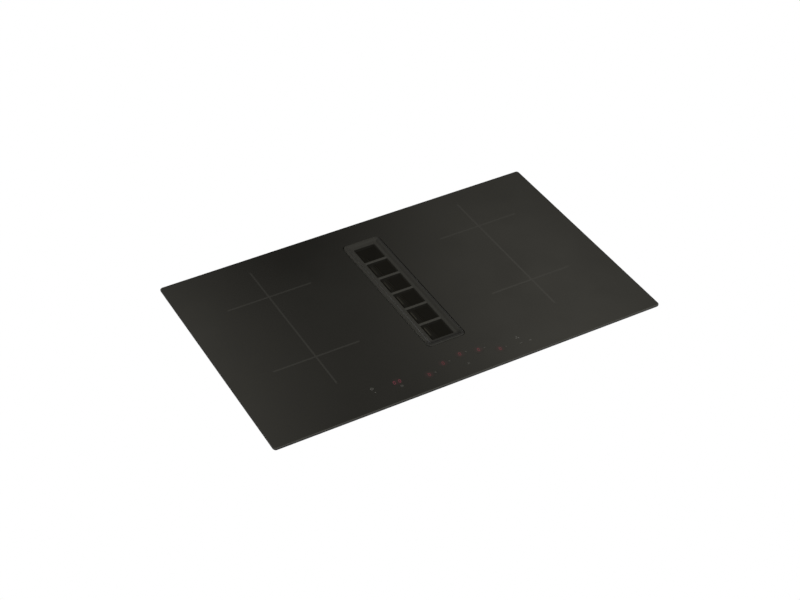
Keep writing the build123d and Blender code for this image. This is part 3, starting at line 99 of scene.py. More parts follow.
def work_out(tree, operation, *terms, clamp=False):
    """One step of arithmetic on sockets and numbers."""
    step = put(tree, "Math", {"operation": operation, "use_clamp": clamp})
    for socket, term in zip(step.inputs, terms):
        feed(tree, socket, term)
    return step.outputs[0]


def remap(tree, value, low, high, to_low=0.0, to_high=1.0, kind="LINEAR"):
    """The value moved from one range to another, held at both ends."""
    step = put(tree, "MapRange", {"interpolation_type": kind}, Value=value, From_Min=low,
               From_Max=high, To_Min=to_low, To_Max=to_high)
    return step.outputs["Result"]


def above(tree, value, edge, soft):
    """One where the value is over the edge and nought under it, with a soft step between."""
    return remap(tree, value, edge - soft, edge + soft)


def below(tree, value, edge, soft):
    """One where the value is under the edge and nought over it, with a soft step between."""
    return remap(tree, value, edge + soft, edge - soft)


def shared(tree, first, share, second):
    """Two masks added up, the first by its share and the second by the rest."""
    return work_out(tree, "ADD", work_out(tree, "MULTIPLY", first, share),
                    work_out(tree, "MULTIPLY", second, 1 - share))


def distance_from(tree, value, middle):
    """How far the value is from the middle, either way."""
    return work_out(tree, "ABSOLUTE", work_out(tree, "SUBTRACT", value, middle))


def ramp(tree, factor, stops):
    """A grey ramp through (place, brightness) stops."""
    step = put(tree, "ValToRGB", Fac=factor)
    elements = step.color_ramp.elements
    for _ in range(len(stops) - len(elements)):
        elements.new(1.0)
    for element, (place, brightness) in zip(elements, stops):
        element.position = place
        element.color = grey(brightness)
    return step.outputs["Color"]


def blend_colours(tree, factor, first, second):
    """Two colours mixed by a factor that may change over the surface."""
    step = put(tree, "Mix", {"data_type": "RGBA"})
    feed(tree, step.inputs["Factor"], factor)
    feed(tree, step.inputs[6], first)
    feed(tree, step.inputs[7], second)
    return step.outputs[2]


def grey(value):
    """An opaque neutral colour."""
    return (value, value, value, 1.0)


# ---------------------------------------------------------------- effects shared by finishes
NUMBER = "NodeSocketFloat"
COLOUR = "NodeSocketColor"
VECTOR = "NodeSocketVector"


def effect(name, takes, gives):
    """An empty node group with named sockets. Returns it with its inner ends."""
    group = bpy.data.node_groups.new(name, "ShaderNodeTree")
    for socket, (kind, value) in takes.items():
        made = group.interface.new_socket(name=socket, in_out="INPUT", socket_type=kind)
        made.default_value = value
    for socket, kind in gives.items():
        group.interface.new_socket(name=socket, in_out="OUTPUT", socket_type=kind)
    inner_start = group.nodes.new("NodeGroupInput")
    inner_end = group.nodes.new("NodeGroupOutput")
    return group, inner_start.outputs, inner_end.inputs


def uneven_tone(tree, tone, mask, unevenness):
    """The tone made darker and lighter by a mask round 0.5, as far as unevenness says."""
    swing = work_out(tree, "SUBTRACT", mask, 0.5)
    swing = work_out(tree, "MULTIPLY_ADD", swing, unevenness, 1.0)
    scale = put(tree, "VectorMath", {"operation": "SCALE"})
    feed(tree, scale.inputs[0], tone[:3] if isinstance(tone, tuple) else tone)
    feed(tree, scale.inputs["Scale"], swing)
    return scale.outputs["Vector"]


SURFACE = {"Color": COLOUR, "Roughness": NUMBER, "Height": NUMBER}


def surface_group(name, takes):
    """A group that gives colour, roughness and height, with its usual inputs."""
    usual = {"Tone": (COLOUR, grey(0.5)), "Unevenness": (NUMBER, 0.3), "Dullness": (NUMBER, 0.5)}
    group, given, out = effect(name, {**usual, **takes}, SURFACE)
    return group, given, out, put(group, "TexCoord").outputs["Object"]


def give_surface(group, given, out, tone_mask, dull_mask, dull_swing, height):
    """The group's colour and roughness swing round their given values by the two masks."""
    tone = uneven_tone(group, given["Tone"], tone_mask, given["Unevenness"])
    swing = work_out(group, "SUBTRACT", dull_mask, 0.5)
    dull = work_out(group, "MULTIPLY_ADD", swing, dull_swing, given["Dullness"], clamp=True)
    feed(group, out["Color"], tone)
    feed(group, out["Roughness"], dull)
    feed(group, out["Height"], height)
    return group


GRAINS_PER_PATCH = 50


def moulded_grain():
    """Sparked or cast surface: fine grains, with wide soft patches in tone and gloss."""
    group, given, out, place = surface_group("moulded_grain", {"Grain": (NUMBER, 0.001)})
    fine_scale = work_out(group, "DIVIDE", 1.0, given["Grain"])
    wide_scale = work_out(group, "DIVIDE", 1 / GRAINS_PER_PATCH, given["Grain"])
    fine = put(group, "TexNoise", Vector=place, Scale=fine_scale, Detail=3.0).outputs[0]
    wide = put(group, "TexNoise", Vector=place, Scale=wide_scale, Detail=2.0).outputs[0]
    mask = shared(group, fine, 0.4, wide)
    return give_surface(group, given, out, mask, wide, 0.3, fine)


def brushed_lines():
    """Lines of a brush, a roll or a die, long where Stretch is small."""
    takes = {"Stretch": (VECTOR, (20, 900, 900))}
    group, given, out, place = surface_group("brushed_lines", takes)
    stretched = put(group, "VectorMath", {"operation": "MULTIPLY"})
    feed(group, stretched.inputs[0], place)
    feed(group, stretched.inputs[1], given["Stretch"])
    lines = put(group, "TexNoise", Vector=stretched.outputs[0], Scale=1.0, Detail=4.0).outputs[0]
    cloud = put(group, "TexNoise", Vector=place, Scale=14.0, Detail=2.0).outputs[0]
    mask = shared(group, lines, 0.7, cloud)
    return give_surface(group, given, out, mask, mask, 0.4, lines)


CRYSTAL_BEND = 6.0 * MM


def zinc_spangle():
    """Crystals of a galvanised sheet, each with its own tone and gloss."""
    group, given, out, place = surface_group("zinc_spangle", {"Crystal": (NUMBER, 0.008)})
    warp = put(group, "TexNoise", Vector=place, Scale=90.0, Detail=2.0).outputs["Color"]
    bent = put(group, "VectorMath", {"operation": "MULTIPLY_ADD"})
    feed(group, bent.inputs[0], warp)
    feed(group, bent.inputs[1], (CRYSTAL_BEND, CRYSTAL_BEND, CRYSTAL_BEND))
    feed(group, bent.inputs[2], place)
    scale = work_out(group, "DIVIDE", 1.0, given["Crystal"])
    cells = put(group, "TexVoronoi", Vector=bent.outputs[0], Scale=scale)
    tone_of_cell = put(group, "SeparateColor", Color=cells.outputs["Color"]).outputs[0]
    cloud = put(group, "TexNoise", Vector=place, Scale=9.0, Detail=3.0).outputs[0]
    mask = shared(group, tone_of_cell, 0.6, cloud)
    return give_surface(group, given, out, mask, tone_of_cell, 0.25, cells.outputs["Distance"])


def fine_cells():
    """Pores, granules or flakes: round cells with edges between them."""
    group, given, out, place = surface_group("fine_cells", {"Cell": (NUMBER, 0.001)})
    scale = work_out(group, "DIVIDE", 1.0, given["Cell"])
    cells = put(group, "TexVoronoi", Vector=place, Scale=scale)
    tone_of_cell = put(group, "SeparateColor", Color=cells.outputs["Color"]).outputs[0]
    height = cells.outputs["Distance"]
    return give_surface(group, given, out, tone_of_cell, tone_of_cell, 0.3, height)


GRAIN = moulded_grain()
BRUSHED = brushed_lines()
SPANGLE = zinc_spangle()
CELLS = fine_cells()


# ---------------------------------------------------------------- finishes
def bare_finish(name, **constants):
    """A new material. The constants are set on its shader's own sockets."""
    material = bpy.data.materials.new(name)
    material.use_nodes = True
    tree = material.node_tree
    shader = tree.nodes["Principled BSDF"]
    for socket, value in constants.items():
        shader.inputs[socket.replace("_", " ")].default_value = value
    return material, tree, shader


def raise_surface(tree, shader, height, depth, strength=1.0):
    """Bump of that depth in metres on the shader."""
    bump = put(tree, "Bump", Height=height, Distance=depth, Strength=strength)
    feed(tree, shader.inputs["Normal"], bump.outputs["Normal"])


def surface_look(tree, group, values):
    """A shared effect placed in a material's tree, with its values set."""
    look = tree.nodes.new("ShaderNodeGroup")
    look.node_tree = group
    for socket, value in values.items():
        look.inputs[socket].default_value = value
    return look.outputs


def finish(name, group, values, depth, **constants):
    """A material whose colour, roughness and bump come from one shared effect."""
    material, tree, shader = bare_finish(name, **constants)
    look = surface_look(tree, group, values)
    feed(tree, shader.inputs["Base Color"], look["Color"])
    feed(tree, shader.inputs["Roughness"], look["Roughness"])
    raise_surface(tree, shader, look["Height"], depth)
    return material


# Painted light: a faint glow on parts in the well, standing in for the light between its walls
PAINTED_WELL_GLOW = {"Emission_Color": (1.0, 0.93, 0.74, 1.0), "Emission_Strength": 0.0078}
GLASS_TONE = (0.0044, 0.0042, 0.0036, 1.0)
GROUND_TONE = (0.040, 0.039, 0.034, 1.0)
SIDE_TONE = (0.005, 0.0048, 0.0042, 1.0)
GROUND_REACH = 3.0 * MM
POLISH = (0.11, 0.17)
GROUND_DULLER = 0.35
SMEARS_PER_METRE = 7.0
WAVES_PER_METRE = 34.0
WAVE_DEPTH = 0.02 * MM


def axes(tree, place):
    """The place's three parts by their names."""
    return put(tree, "SeparateXYZ", Vector=place).outputs


def near_rim(tree, place):
    """One close to the plate's outer edges, and nought from there inwards."""
    parts = axes(tree, place)
    along_x = work_out(tree, "SUBTRACT", work_out(tree, "ABSOLUTE", parts["X"]), GLASS_HIGH.x)
    along_y = work_out(tree, "SUBTRACT", work_out(tree, "ABSOLUTE", parts["Y"]), GLASS_HIGH.y)
    nearest = work_out(tree, "MAXIMUM", along_x, along_y)
    return work_out(tree, "GREATER_THAN", nearest, -GROUND_REACH)


def black_glass():
    """Black glass ceramic: polished faces, ground outer edges, faint waves from rolling."""
    material, tree, shader = bare_finish("black_glass", IOR=1.5)
    place = put(tree, "TexCoord").outputs["Object"]
    normal = put(tree, "NewGeometry").outputs["Normal"]
    upright = work_out(tree, "ABSOLUTE", axes(tree, normal)["Z"])
    tilted = below(tree, upright, 0.875, 0.075)
    ground = work_out(tree, "MULTIPLY", tilted, near_rim(tree, place))
    matt = blend_colours(tree, above(tree, upright, 0.35, 0.15), SIDE_TONE, GROUND_TONE)
    smear = put(tree, "TexNoise", Vector=place, Scale=SMEARS_PER_METRE, Detail=3.0).outputs[0]
    waves = put(tree, "TexNoise", Vector=place, Scale=WAVES_PER_METRE, Detail=1.0).outputs[0]
    tone = uneven_tone(tree, GLASS_TONE, smear, 0.35)
    feed(tree, shader.inputs["Base Color"], blend_colours(tree, ground, tone, matt))
    polish = remap(tree, smear, 0.3, 0.7, *POLISH)
    dull = work_out(tree, "MULTIPLY_ADD", ground, GROUND_DULLER, polish)
    feed(tree, shader.inputs["Roughness"], dull)
    raise_surface(tree, shader, waves, WAVE_DEPTH, 0.3)
    return material


def inside_outline(tree, parts):
    """How far a place lies inside the grille's rounded outline, in plan."""
    beyond = []
    for axis, middle, half in (("X", 0.0, GRILLE_HIGH.x), ("Y", GRILLE_Y, GRILLE_HALF_L)):
        off = distance_from(tree, parts[axis], middle)
        off = work_out(tree, "SUBTRACT", off, half - GRILLE_CORNER_R)
        beyond.append(work_out(tree, "MAXIMUM", off, 0.0))
    squares = [work_out(tree, "MULTIPLY", off, off) for off in beyond]
    reach = work_out(tree, "SQRT", work_out(tree, "ADD", *squares))
    return work_out(tree, "SUBTRACT", GRILLE_CORNER_R, reach)


ENAMEL_TONE = (0.019, 0.0185, 0.016, 1.0)
LIT_BAR_TONE = (0.031, 0.030, 0.026, 1.0)
RIGHT_SHADE_TONE = grey(0.009)
FRONT_SHADE_TONE = grey(0.0075)
LIT_WALL_TONE = (0.045, 0.044, 0.038, 1.0)
GAP_WALL_LIGHT_TONE = (0.22, 0.215, 0.19, 1.0)
FRONT_WALL_LIGHT_TONE = (0.042, 0.041, 0.036, 1.0)
OPENING_SHADE_TONE = grey(0.003)
RIGHT_SHADE_FROM_X = 35.5 * MM
FRONT_SHADE_DEPTH = 15.0 * MM
FRONT_WALL_DEPTH = 5.0 * MM


def casting_enamel():
    """Matt enamel on the cast grille, with painted light and shade: lighter bars and outer walls, a
    shaded right side and front, and near black with a faint painted glow down in the openings.
    """
    material, tree, shader = bare_finish("casting_enamel", IOR=1.5, **PAINTED_WELL_GLOW)
    look = surface_look(tree, GRAIN, {"Tone": ENAMEL_TONE, "Grain": 0.0011, "Unevenness": 0.5,
                        "Dullness": 0.42})
    parts = axes(tree, put(tree, "TexCoord").outputs["Object"])
    across = work_out(tree, "ABSOLUTE", parts["X"])
    along = distance_from(tree, parts["Y"], GRILLE_Y)
    from_front = work_out(tree, "SUBTRACT", parts["Y"], GRILLE_LOW.y)
    on_bars = work_out(tree, "MULTIPLY", below(tree, across, OPENING_HALF_W, 1.0 * MM),
                       below(tree, along, OPENINGS_HALF_L - 1.0 * MM, 1.0 * MM))
    # Painted highlight: the bar tops lighter than the rest of the enamel.
    colour = blend_colours(tree, on_bars, look["Color"], LIT_BAR_TONE)
    # Painted shade: the right side of the grille darker.
    right_shade = above(tree, parts["X"], RIGHT_SHADE_FROM_X, 1.5 * MM)
    colour = blend_colours(tree, right_shade, colour, RIGHT_SHADE_TONE)
    # Painted shade: the enamel darker towards the front of the grille.
    front_shade = below(tree, from_front, FRONT_SHADE_DEPTH, 2.0 * MM)
    colour = blend_colours(tree, front_shade, colour, FRONT_SHADE_TONE)
    # Painted light: the outer walls lighter than the enamel, lightest below the glass top where the
    # gap lies in shade, and a little less light at the front.
    in_gap = below(tree, parts["Z"], GLASS_HIGH.z + 0.2 * MM, 0.2 * MM)
    lit_walls = blend_colours(tree, in_gap, LIT_WALL_TONE, GAP_WALL_LIGHT_TONE)
    at_front = below(tree, from_front, FRONT_WALL_DEPTH, 2.0 * MM)
    lit_walls = blend_colours(tree, at_front, lit_walls, FRONT_WALL_LIGHT_TONE)
    wall = below(tree, inside_outline(tree, parts), 0.35 * MM, 0.25 * MM)
    colour = blend_colours(tree, wall, colour, lit_walls)
    # Painted shade: near black down in the openings, with the faint painted glow of the well there.
    outer_part = above(tree, parts["Z"], BAR_TOP - 1.1 * MM, 0.5 * MM)
    colour = blend_colours(tree, outer_part, OPENING_SHADE_TONE, colour)
    feed(tree, shader.inputs["Base Color"], colour)
    feed(tree, shader.inputs["Roughness"], look["Roughness"])
    glow = blend_colours(tree, outer_part, PAINTED_WELL_GLOW["Emission_Color"], grey(0.0))
    feed(tree, shader.inputs["Emission Color"], glow)
    raise_surface(tree, shader, look["Height"], 0.02 * MM)
    return material


SPINE_TOP = -24.6 * MM
SPINE_HALF_W = 3.0 * MM
# Painted light: the tone of the lit patches on the spine.
SPINE_LIGHT_TONE = (0.085, 0.082, 0.070, 1.0)
INSIDE_SHADE_TONE = grey(0.006)
HOLE_TONE = grey(0.01)
HOLES_PER_METRE = 420.0
PATCH_RIGHT_X = -1.3 * MM
PATCH_HALF_L = 12.5 * MM
PATCH_BEHIND_BAR = 3.5 * MM
PATCHES_Y = (150.0 * MM, -60.0 * MM)
PATCHES_LIGHT = (0.35, 1.0)


def lit_spine(tree, parts):
    """Patches of light that slants in through the openings onto the left of the spine."""
    on_top = below(tree, distance_from(tree, parts["Z"], SPINE_TOP), 0.35 * MM, 0.25 * MM)
    across = work_out(tree, "ABSOLUTE", parts["X"])
    on_spine = below(tree, across, SPINE_HALF_W + 0.3 * MM, 0.1 * MM)
    on_left = below(tree, parts["X"], PATCH_RIGHT_X, 0.5 * MM)
    along = work_out(tree, "SUBTRACT", parts["Y"], GRILLE_Y + PATCH_BEHIND_BAR)
    from_patch = work_out(tree, "PINGPONG", along, BAR_PITCH / 2)
    in_patch = below(tree, from_patch, PATCH_HALF_L, 1.5 * MM)
    lit = remap(tree, parts["Y"], *PATCHES_Y, *PATCHES_LIGHT)
    for mask in (on_top, on_spine, on_left, in_patch):
        lit = work_out(tree, "MULTIPLY", lit, mask)
    return lit


def filter_mesh(name, skin):
    """Steel of the grease filter with its pressed holes, painted near black inside the frame's skin
    as painted shade, with a faint painted glow.
    """
    material, tree, shader = bare_finish(name, Metallic=0.9, **PAINTED_WELL_GLOW)
    place = put(tree, "TexCoord").outputs["Object"]
    look = surface_look(tree, BRUSHED, {"Tone": (0.20, 0.196, 0.18, 1), "Unevenness": 0.4,
                        "Dullness": 0.4, "Stretch": (500, 30, 500)})
    dots = put(tree, "TexVoronoi", Vector=place, Scale=HOLES_PER_METRE, Randomness=0.0)
    between_holes = above(tree, dots.outputs["Distance"], 0.27, 0.05)
    steel = blend_colours(tree, between_holes, HOLE_TONE, look["Color"])
    parts = axes(tree, place)
    outside = below(tree, inside_outline(tree, parts), skin + 0.1 * MM, 0.1 * MM)
    # Painted shade inside the frame's skin, with painted patches of light on the spine.
    inside_shade_and_light = blend_colours(tree, lit_spine(tree, parts), INSIDE_SHADE_TONE, SPINE_LIGHT_TONE)
    feed(tree, shader.inputs["Base Color"], blend_colours(tree, outside, inside_shade_and_light, steel))
    feed(tree, shader.inputs["Roughness"], look["Roughness"])
    raise_surface(tree, shader, between_holes, 0.2 * MM)
    return material


def foam_tape():
    """Closed-cell foam."""
    return finish("foam_tape", CELLS, {"Tone": (0.02, 0.02, 0.02, 1), "Cell": 0.0006,
                  "Unevenness": 0.8, "Dullness": 0.9}, depth=0.2 * MM)


def powder_coat():
    """Black powder coat with a light orange peel."""
    # The collar also takes the painted glow of the well.
    return finish("powder_coat", GRAIN, {"Tone": (0.02, 0.02, 0.02, 1), "Grain": 0.0016,
                  "Unevenness": 0.3, "Dullness": 0.5}, depth=0.03 * MM, **PAINTED_WELL_GLOW)


def soft_rubber():
    """Black rubber, a little dusty."""
    return finish("soft_rubber", GRAIN, {"Tone": (0.018, 0.018, 0.018, 1), "Grain": 0.0007,
                  "Unevenness": 0.6, "Dullness": 0.8}, depth=0.03 * MM)


def housing_plastic(name, **constants):
    """Dark grey glass-filled plastic from a sparked tool."""
    return finish(name, GRAIN, {"Tone": (0.045, 0.046, 0.049, 1), "Grain": 0.0012,
                  "Unevenness": 0.45, "Dullness": 0.55}, depth=0.06 * MM, IOR=1.5, **constants)


def tray_plastic():
    """Grey plastic of the drip tray."""
    # The tray also takes the painted glow of the well.
    return finish("tray_plastic", GRAIN, {"Tone": (0.11, 0.11, 0.115, 1), "Grain": 0.001,
                  "Unevenness": 0.3, "Dullness": 0.45}, depth=0.04 * MM, IOR=1.5, **PAINTED_WELL_GLOW)


def galvanised_sheet():
    """Galvanised steel of the pan."""
    return finish("galvanised_sheet", SPANGLE, {"Tone": (0.50, 0.515, 0.53, 1), "Crystal": 0.007,
                  "Unevenness": 0.5, "Dullness": 0.38}, depth=0.03 * MM, Metallic=0.85)


def carrier_plastic():
    """Black heat-proof plastic."""
    return finish("carrier_plastic", GRAIN, {"Tone": (0.035, 0.035, 0.035, 1), "Grain": 0.0014,
                  "Unevenness": 0.5, "Dullness": 0.6}, depth=0.05 * MM)


def mica_sheet():
    """Pressed mica flakes."""
    return finish("mica_sheet", CELLS, {"Tone": (0.55, 0.50, 0.38, 1), "Cell": 0.004,
                  "Unevenness": 0.35, "Dullness": 0.4}, depth=0.05 * MM)


def sintered_ferrite():
    """Dark sintered ferrite with tiny pores."""
    return finish("sintered_ferrite", CELLS, {"Tone": (0.06, 0.06, 0.065, 1), "Cell": 0.0012,
                  "Unevenness": 0.4, "Dullness": 0.45}, depth=0.04 * MM)


def rolled_aluminium():
    """Aluminium sheet with roll lines."""
    return finish("rolled_aluminium", BRUSHED, {"Tone": (0.72, 0.73, 0.74, 1), "Unevenness": 0.2,
                  "Dullness": 0.35, "Stretch": (900, 12, 900)}, depth=0.02 * MM, Metallic=1.0)


def extruded_aluminium():
    """Heat sink profile with die lines along it."""
    return finish("extruded_aluminium", BRUSHED, {"Tone": (0.66, 0.67, 0.68, 1),
                  "Unevenness": 0.3, "Dullness": 0.32, "Stretch": (1200, 8, 1200)}, depth=0.03 * MM,
                  Metallic=1.0)


def component_plastic():
    """Moulded cases of capacitors, chokes and relays."""
    return finish("component_plastic", GRAIN, {"Tone": (0.05, 0.055, 0.085, 1), "Grain": 0.002,
                  "Unevenness": 0.7, "Dullness": 0.35}, depth=0.02 * MM)


def fan_plastic():
    """Black plastic of the small fans."""
    return finish("fan_plastic", GRAIN, {"Tone": (0.022, 0.022, 0.022, 1), "Grain": 0.0009,
                  "Unevenness": 0.4, "Dullness": 0.42}, depth=0.03 * MM)


def impeller_plastic():
    """Light grey glass-filled nylon with flow marks."""
    return finish("impeller_plastic", GRAIN, {"Tone": (0.56, 0.56, 0.54, 1), "Grain": 0.0016,
                  "Unevenness": 0.16, "Dullness": 0.45}, depth=0.03 * MM)


def display_window():
    """Smoked red windows of the display modules."""
    return finish("display_window", GRAIN, {"Tone": (0.05, 0.008, 0.006, 1), "Grain": 0.003,
                  "Unevenness": 0.3, "Dullness": 0.2}, depth=0.01 * MM)


def plated_spring():
    """Plated spring steel with upright drawn lines."""
    return finish("plated_spring", BRUSHED, {"Tone": (0.70, 0.69, 0.66, 1), "Unevenness": 0.25,
                  "Dullness": 0.25, "Stretch": (700, 700, 25)}, depth=0.01 * MM, Metallic=1.0)


def zinc_plate():
    """Zinc-plated can of the motor and sensor cups."""
    return finish("zinc_plate", BRUSHED, {"Tone": (0.50, 0.51, 0.50, 1), "Unevenness": 0.3,
                  "Dullness": 0.3, "Stretch": (60, 60, 900)}, depth=0.02 * MM, Metallic=1.0)


def ground_shaft():
    """Ground steel with rings from the wheel."""
    return finish("ground_shaft", BRUSHED, {"Tone": (0.68, 0.68, 0.68, 1), "Unevenness": 0.2,
                  "Dullness": 0.18, "Stretch": (30, 30, 2600)}, depth=0.01 * MM, Metallic=1.0)


def screw_zinc():
    """Zinc-plated screws."""
    return finish("screw_zinc", GRAIN, {"Tone": (0.62, 0.62, 0.60, 1), "Grain": 0.0006,
                  "Unevenness": 0.3, "Dullness": 0.3}, depth=0.02 * MM, Metallic=1.0)


def terminal_plastic():
    """Light grey plastic of the mains box."""
    return finish("terminal_plastic", GRAIN, {"Tone": (0.52, 0.52, 0.50, 1), "Grain": 0.0011,
                  "Unevenness": 0.14, "Dullness": 0.45}, depth=0.04 * MM)


TRACK_PITCH = 6.0 * MM


def circuit_board(name):
    """Green solder mask over copper tracks, with tinned pads."""
    material, tree, shader = bare_finish(name, IOR=1.5)
    place = put(tree, "TexCoord").outputs["Object"]
    tracks = put(tree, "TexVoronoi", {"distance": "MANHATTAN", "feature": "F2"}, Vector=place,
                 Scale=1 / TRACK_PITCH).outputs["Distance"]
    track = above(tree, work_out(tree, "PINGPONG", tracks, 0.12), 0.055, 0.015)
    pads = put(tree, "TexVoronoi", Vector=place, Scale=1 / (1.4 * TRACK_PITCH),
               Randomness=0.7).outputs["Distance"]
    pad = below(tree, pads, 0.14, 0.02)
    mask_tone = blend_colours(tree, track, (0.010, 0.085, 0.035, 1), (0.022, 0.16, 0.06, 1))
    feed(tree, shader.inputs["Base Color"], blend_colours(tree, pad, mask_tone, grey(0.6)))
    feed(tree, shader.inputs["Metallic"], pad)
    feed(tree, shader.inputs["Roughness"], remap(tree, track, 0, 1, 0.38, 0.28))
    raise_surface(tree, shader, track, 0.04 * MM)
    return material


LITZ_TURN = 2.9 * MM
LITZ_STRAND = 0.9 * MM


def litz_copper(name, node):
    """Turns of stranded copper wire round the middle of the winding."""
    low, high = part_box(node)
    middle = (low + high) / 2
    material, tree, shader = bare_finish(name, Metallic=1.0)
    place = put(tree, "TexCoord").outputs["Object"]
    from_middle = put(tree, "Mapping", Vector=place, Location=(-middle.x, -middle.y, 0.0))
    parts = axes(tree, from_middle.outputs["Vector"])
    radius = work_out(tree, "SQRT", work_out(
        tree, "ADD", work_out(tree, "MULTIPLY", parts["X"], parts["X"]),
        work_out(tree, "MULTIPLY", parts["Y"], parts["Y"])))
    angle = work_out(tree, "ARCTAN2", parts["Y"], parts["X"])
    turn = work_out(tree, "PINGPONG", radius, LITZ_TURN / 2)
    crown = remap(tree, turn, 0, LITZ_TURN / 2, kind="SMOOTHSTEP")
    twist = work_out(tree, "ADD", radius, work_out(tree, "MULTIPLY", angle, 4 * LITZ_TURN))
    strand = remap(tree, work_out(tree, "PINGPONG", twist, LITZ_STRAND / 2), 0, LITZ_STRAND / 2)
    # Painted shade: the copper darker in the grooves between the turns.
    colour = blend_colours(tree, crown, (0.16, 0.05, 0.02, 1), (0.66, 0.27, 0.12, 1))
    feed(tree, shader.inputs["Base Color"], colour)
    feed(tree, shader.inputs["Roughness"], remap(tree, strand, 0, 1, 0.5, 0.28))
    height = work_out(tree, "MULTIPLY_ADD", strand, 0.15, crown)
    raise_surface(tree, shader, height, 0.8 * MM)
    return material


BRIGHT_INK = (0.10, 0.097, 0.088, 1.0)
PALE_INK = (0.068, 0.066, 0.060, 1.0)
DOT_INK = (0.038, 0.0365, 0.033, 1.0)
MARK_TONE = {"left": (0.0200, 0.0196, 0.0172, 1.0), "right": (0.0172, 0.0168, 0.0148, 1.0)}
FADE = 0.02


def share_along(tree):
    """The share that the print's mesh gives each place, along a line or out from a middle."""
    return axes(tree, put(tree, "UVMap", {"uv_map": "along"}).outputs["UV"])["X"]


def screen_print(name, ink):
    """Grey ceramic ink of the key signs and dots."""
    material, tree, shader = bare_finish(name)
    place = put(tree, "TexCoord").outputs["Object"]
    dots = put(tree, "TexNoise", Vector=place, Scale=2500.0, Detail=1.0).outputs[0]
    feed(tree, shader.inputs["Base Color"], uneven_tone(tree, ink, dots, 0.4))
    feed(tree, shader.inputs["Roughness"], remap(tree, dots, 0.3, 0.7, 0.3, 0.5))
    return material


def mark_print(name, ink_tone):
    """Dark grey ink of the zone marks, which fades into the glass at the ends."""
    material, tree, shader = bare_finish(name, IOR=1.5)
    from_end = work_out(tree, "PINGPONG", share_along(tree), 0.5)
    ink = remap(tree, from_end, 0.0, FADE, kind="SMOOTHSTEP")
    place = put(tree, "TexCoord").outputs["Object"]
    dots = put(tree, "TexNoise", Vector=place, Scale=1800.0, Detail=1.0).outputs[0]
    tone = uneven_tone(tree, ink_tone, dots, 0.3)
    feed(tree, shader.inputs["Base Color"], blend_colours(tree, ink, GLASS_TONE, tone))
    feed(tree, shader.inputs["Roughness"], remap(tree, dots, 0.3, 0.7, 0.13, 0.19))
    return material


LIGHT_OF = {"timer": 0.068, "zones": 0.034}
HAZE_LIGHT = 0.0155
LAMP_RED = (0.95, 0.17, 0.37, 1.0)
HAZE_RED = (1.0, 0.13, 0.26, 1.0)


def lamp_haze():
    """Black glass with the red haze of a lit digit, strongest at its middle."""
    material, tree, shader = bare_finish("lamp_haze", IOR=1.5, Emission_Strength=HAZE_LIGHT)
    haze = work_out(tree, "SUBTRACT", 1.0, share_along(tree))
    place = put(tree, "TexCoord").outputs["Object"]
    smear = put(tree, "TexNoise", Vector=place, Scale=60.0, Detail=2.0).outputs[0]
    feed(tree, shader.inputs["Base Color"], uneven_tone(tree, GLASS_TONE, smear, 0.35))
    feed(tree, shader.inputs["Roughness"], remap(tree, smear, 0.3, 0.7, 0.12, 0.18))
    red = blend_colours(tree, haze, grey(0.0), HAZE_RED)
    feed(tree, shader.inputs["Emission Color"], red)
    return material


def lit_segments(display):
    """Red light-emitting segments of one display, seen through the glass."""
    material, tree, shader = bare_finish(f"lit_{display}", Emission_Strength=LIGHT_OF[display])
    place = put(tree, "TexCoord").outputs["Object"]
    glow = put(tree, "TexNoise", Vector=place, Scale=700.0, Detail=1.0).outputs[0]
    feed(tree, shader.inputs["Emission Color"], uneven_tone(tree, LAMP_RED, glow, 0.25))
    feed(tree, shader.inputs["Base Color"], uneven_tone(tree, (0.08, 0.01, 0.01, 1), glow, 0.4))
    feed(tree, shader.inputs["Roughness"], remap(tree, glow, 0.3, 0.7, 0.12, 0.2))
    return material


# ---------------------------------------------------------------- flat prints on the glass
def edges_of_stroke(points, width, closed):
    """Left and right edge of a line of that width along the points."""
    left, right = [], []
    count = len(points)
    for i, here in enumerate(points):
        before = points[i - 1] if i or closed else None
        after = points[(i + 1) % count] if i < count - 1 or closed else None
        ways = []
        if before is not None:
            ways.append((here - before).normalized())
        if after is not None:
            ways.append((after - here).normalized())
        way = sum(ways, Vector((0, 0))).normalized()
        side = Vector((-way.y, way.x)) * (width / 2 / max(way.dot(ways[0]), 0.3))
        left.append(here + side)
        right.append(here - side)
    return left, right


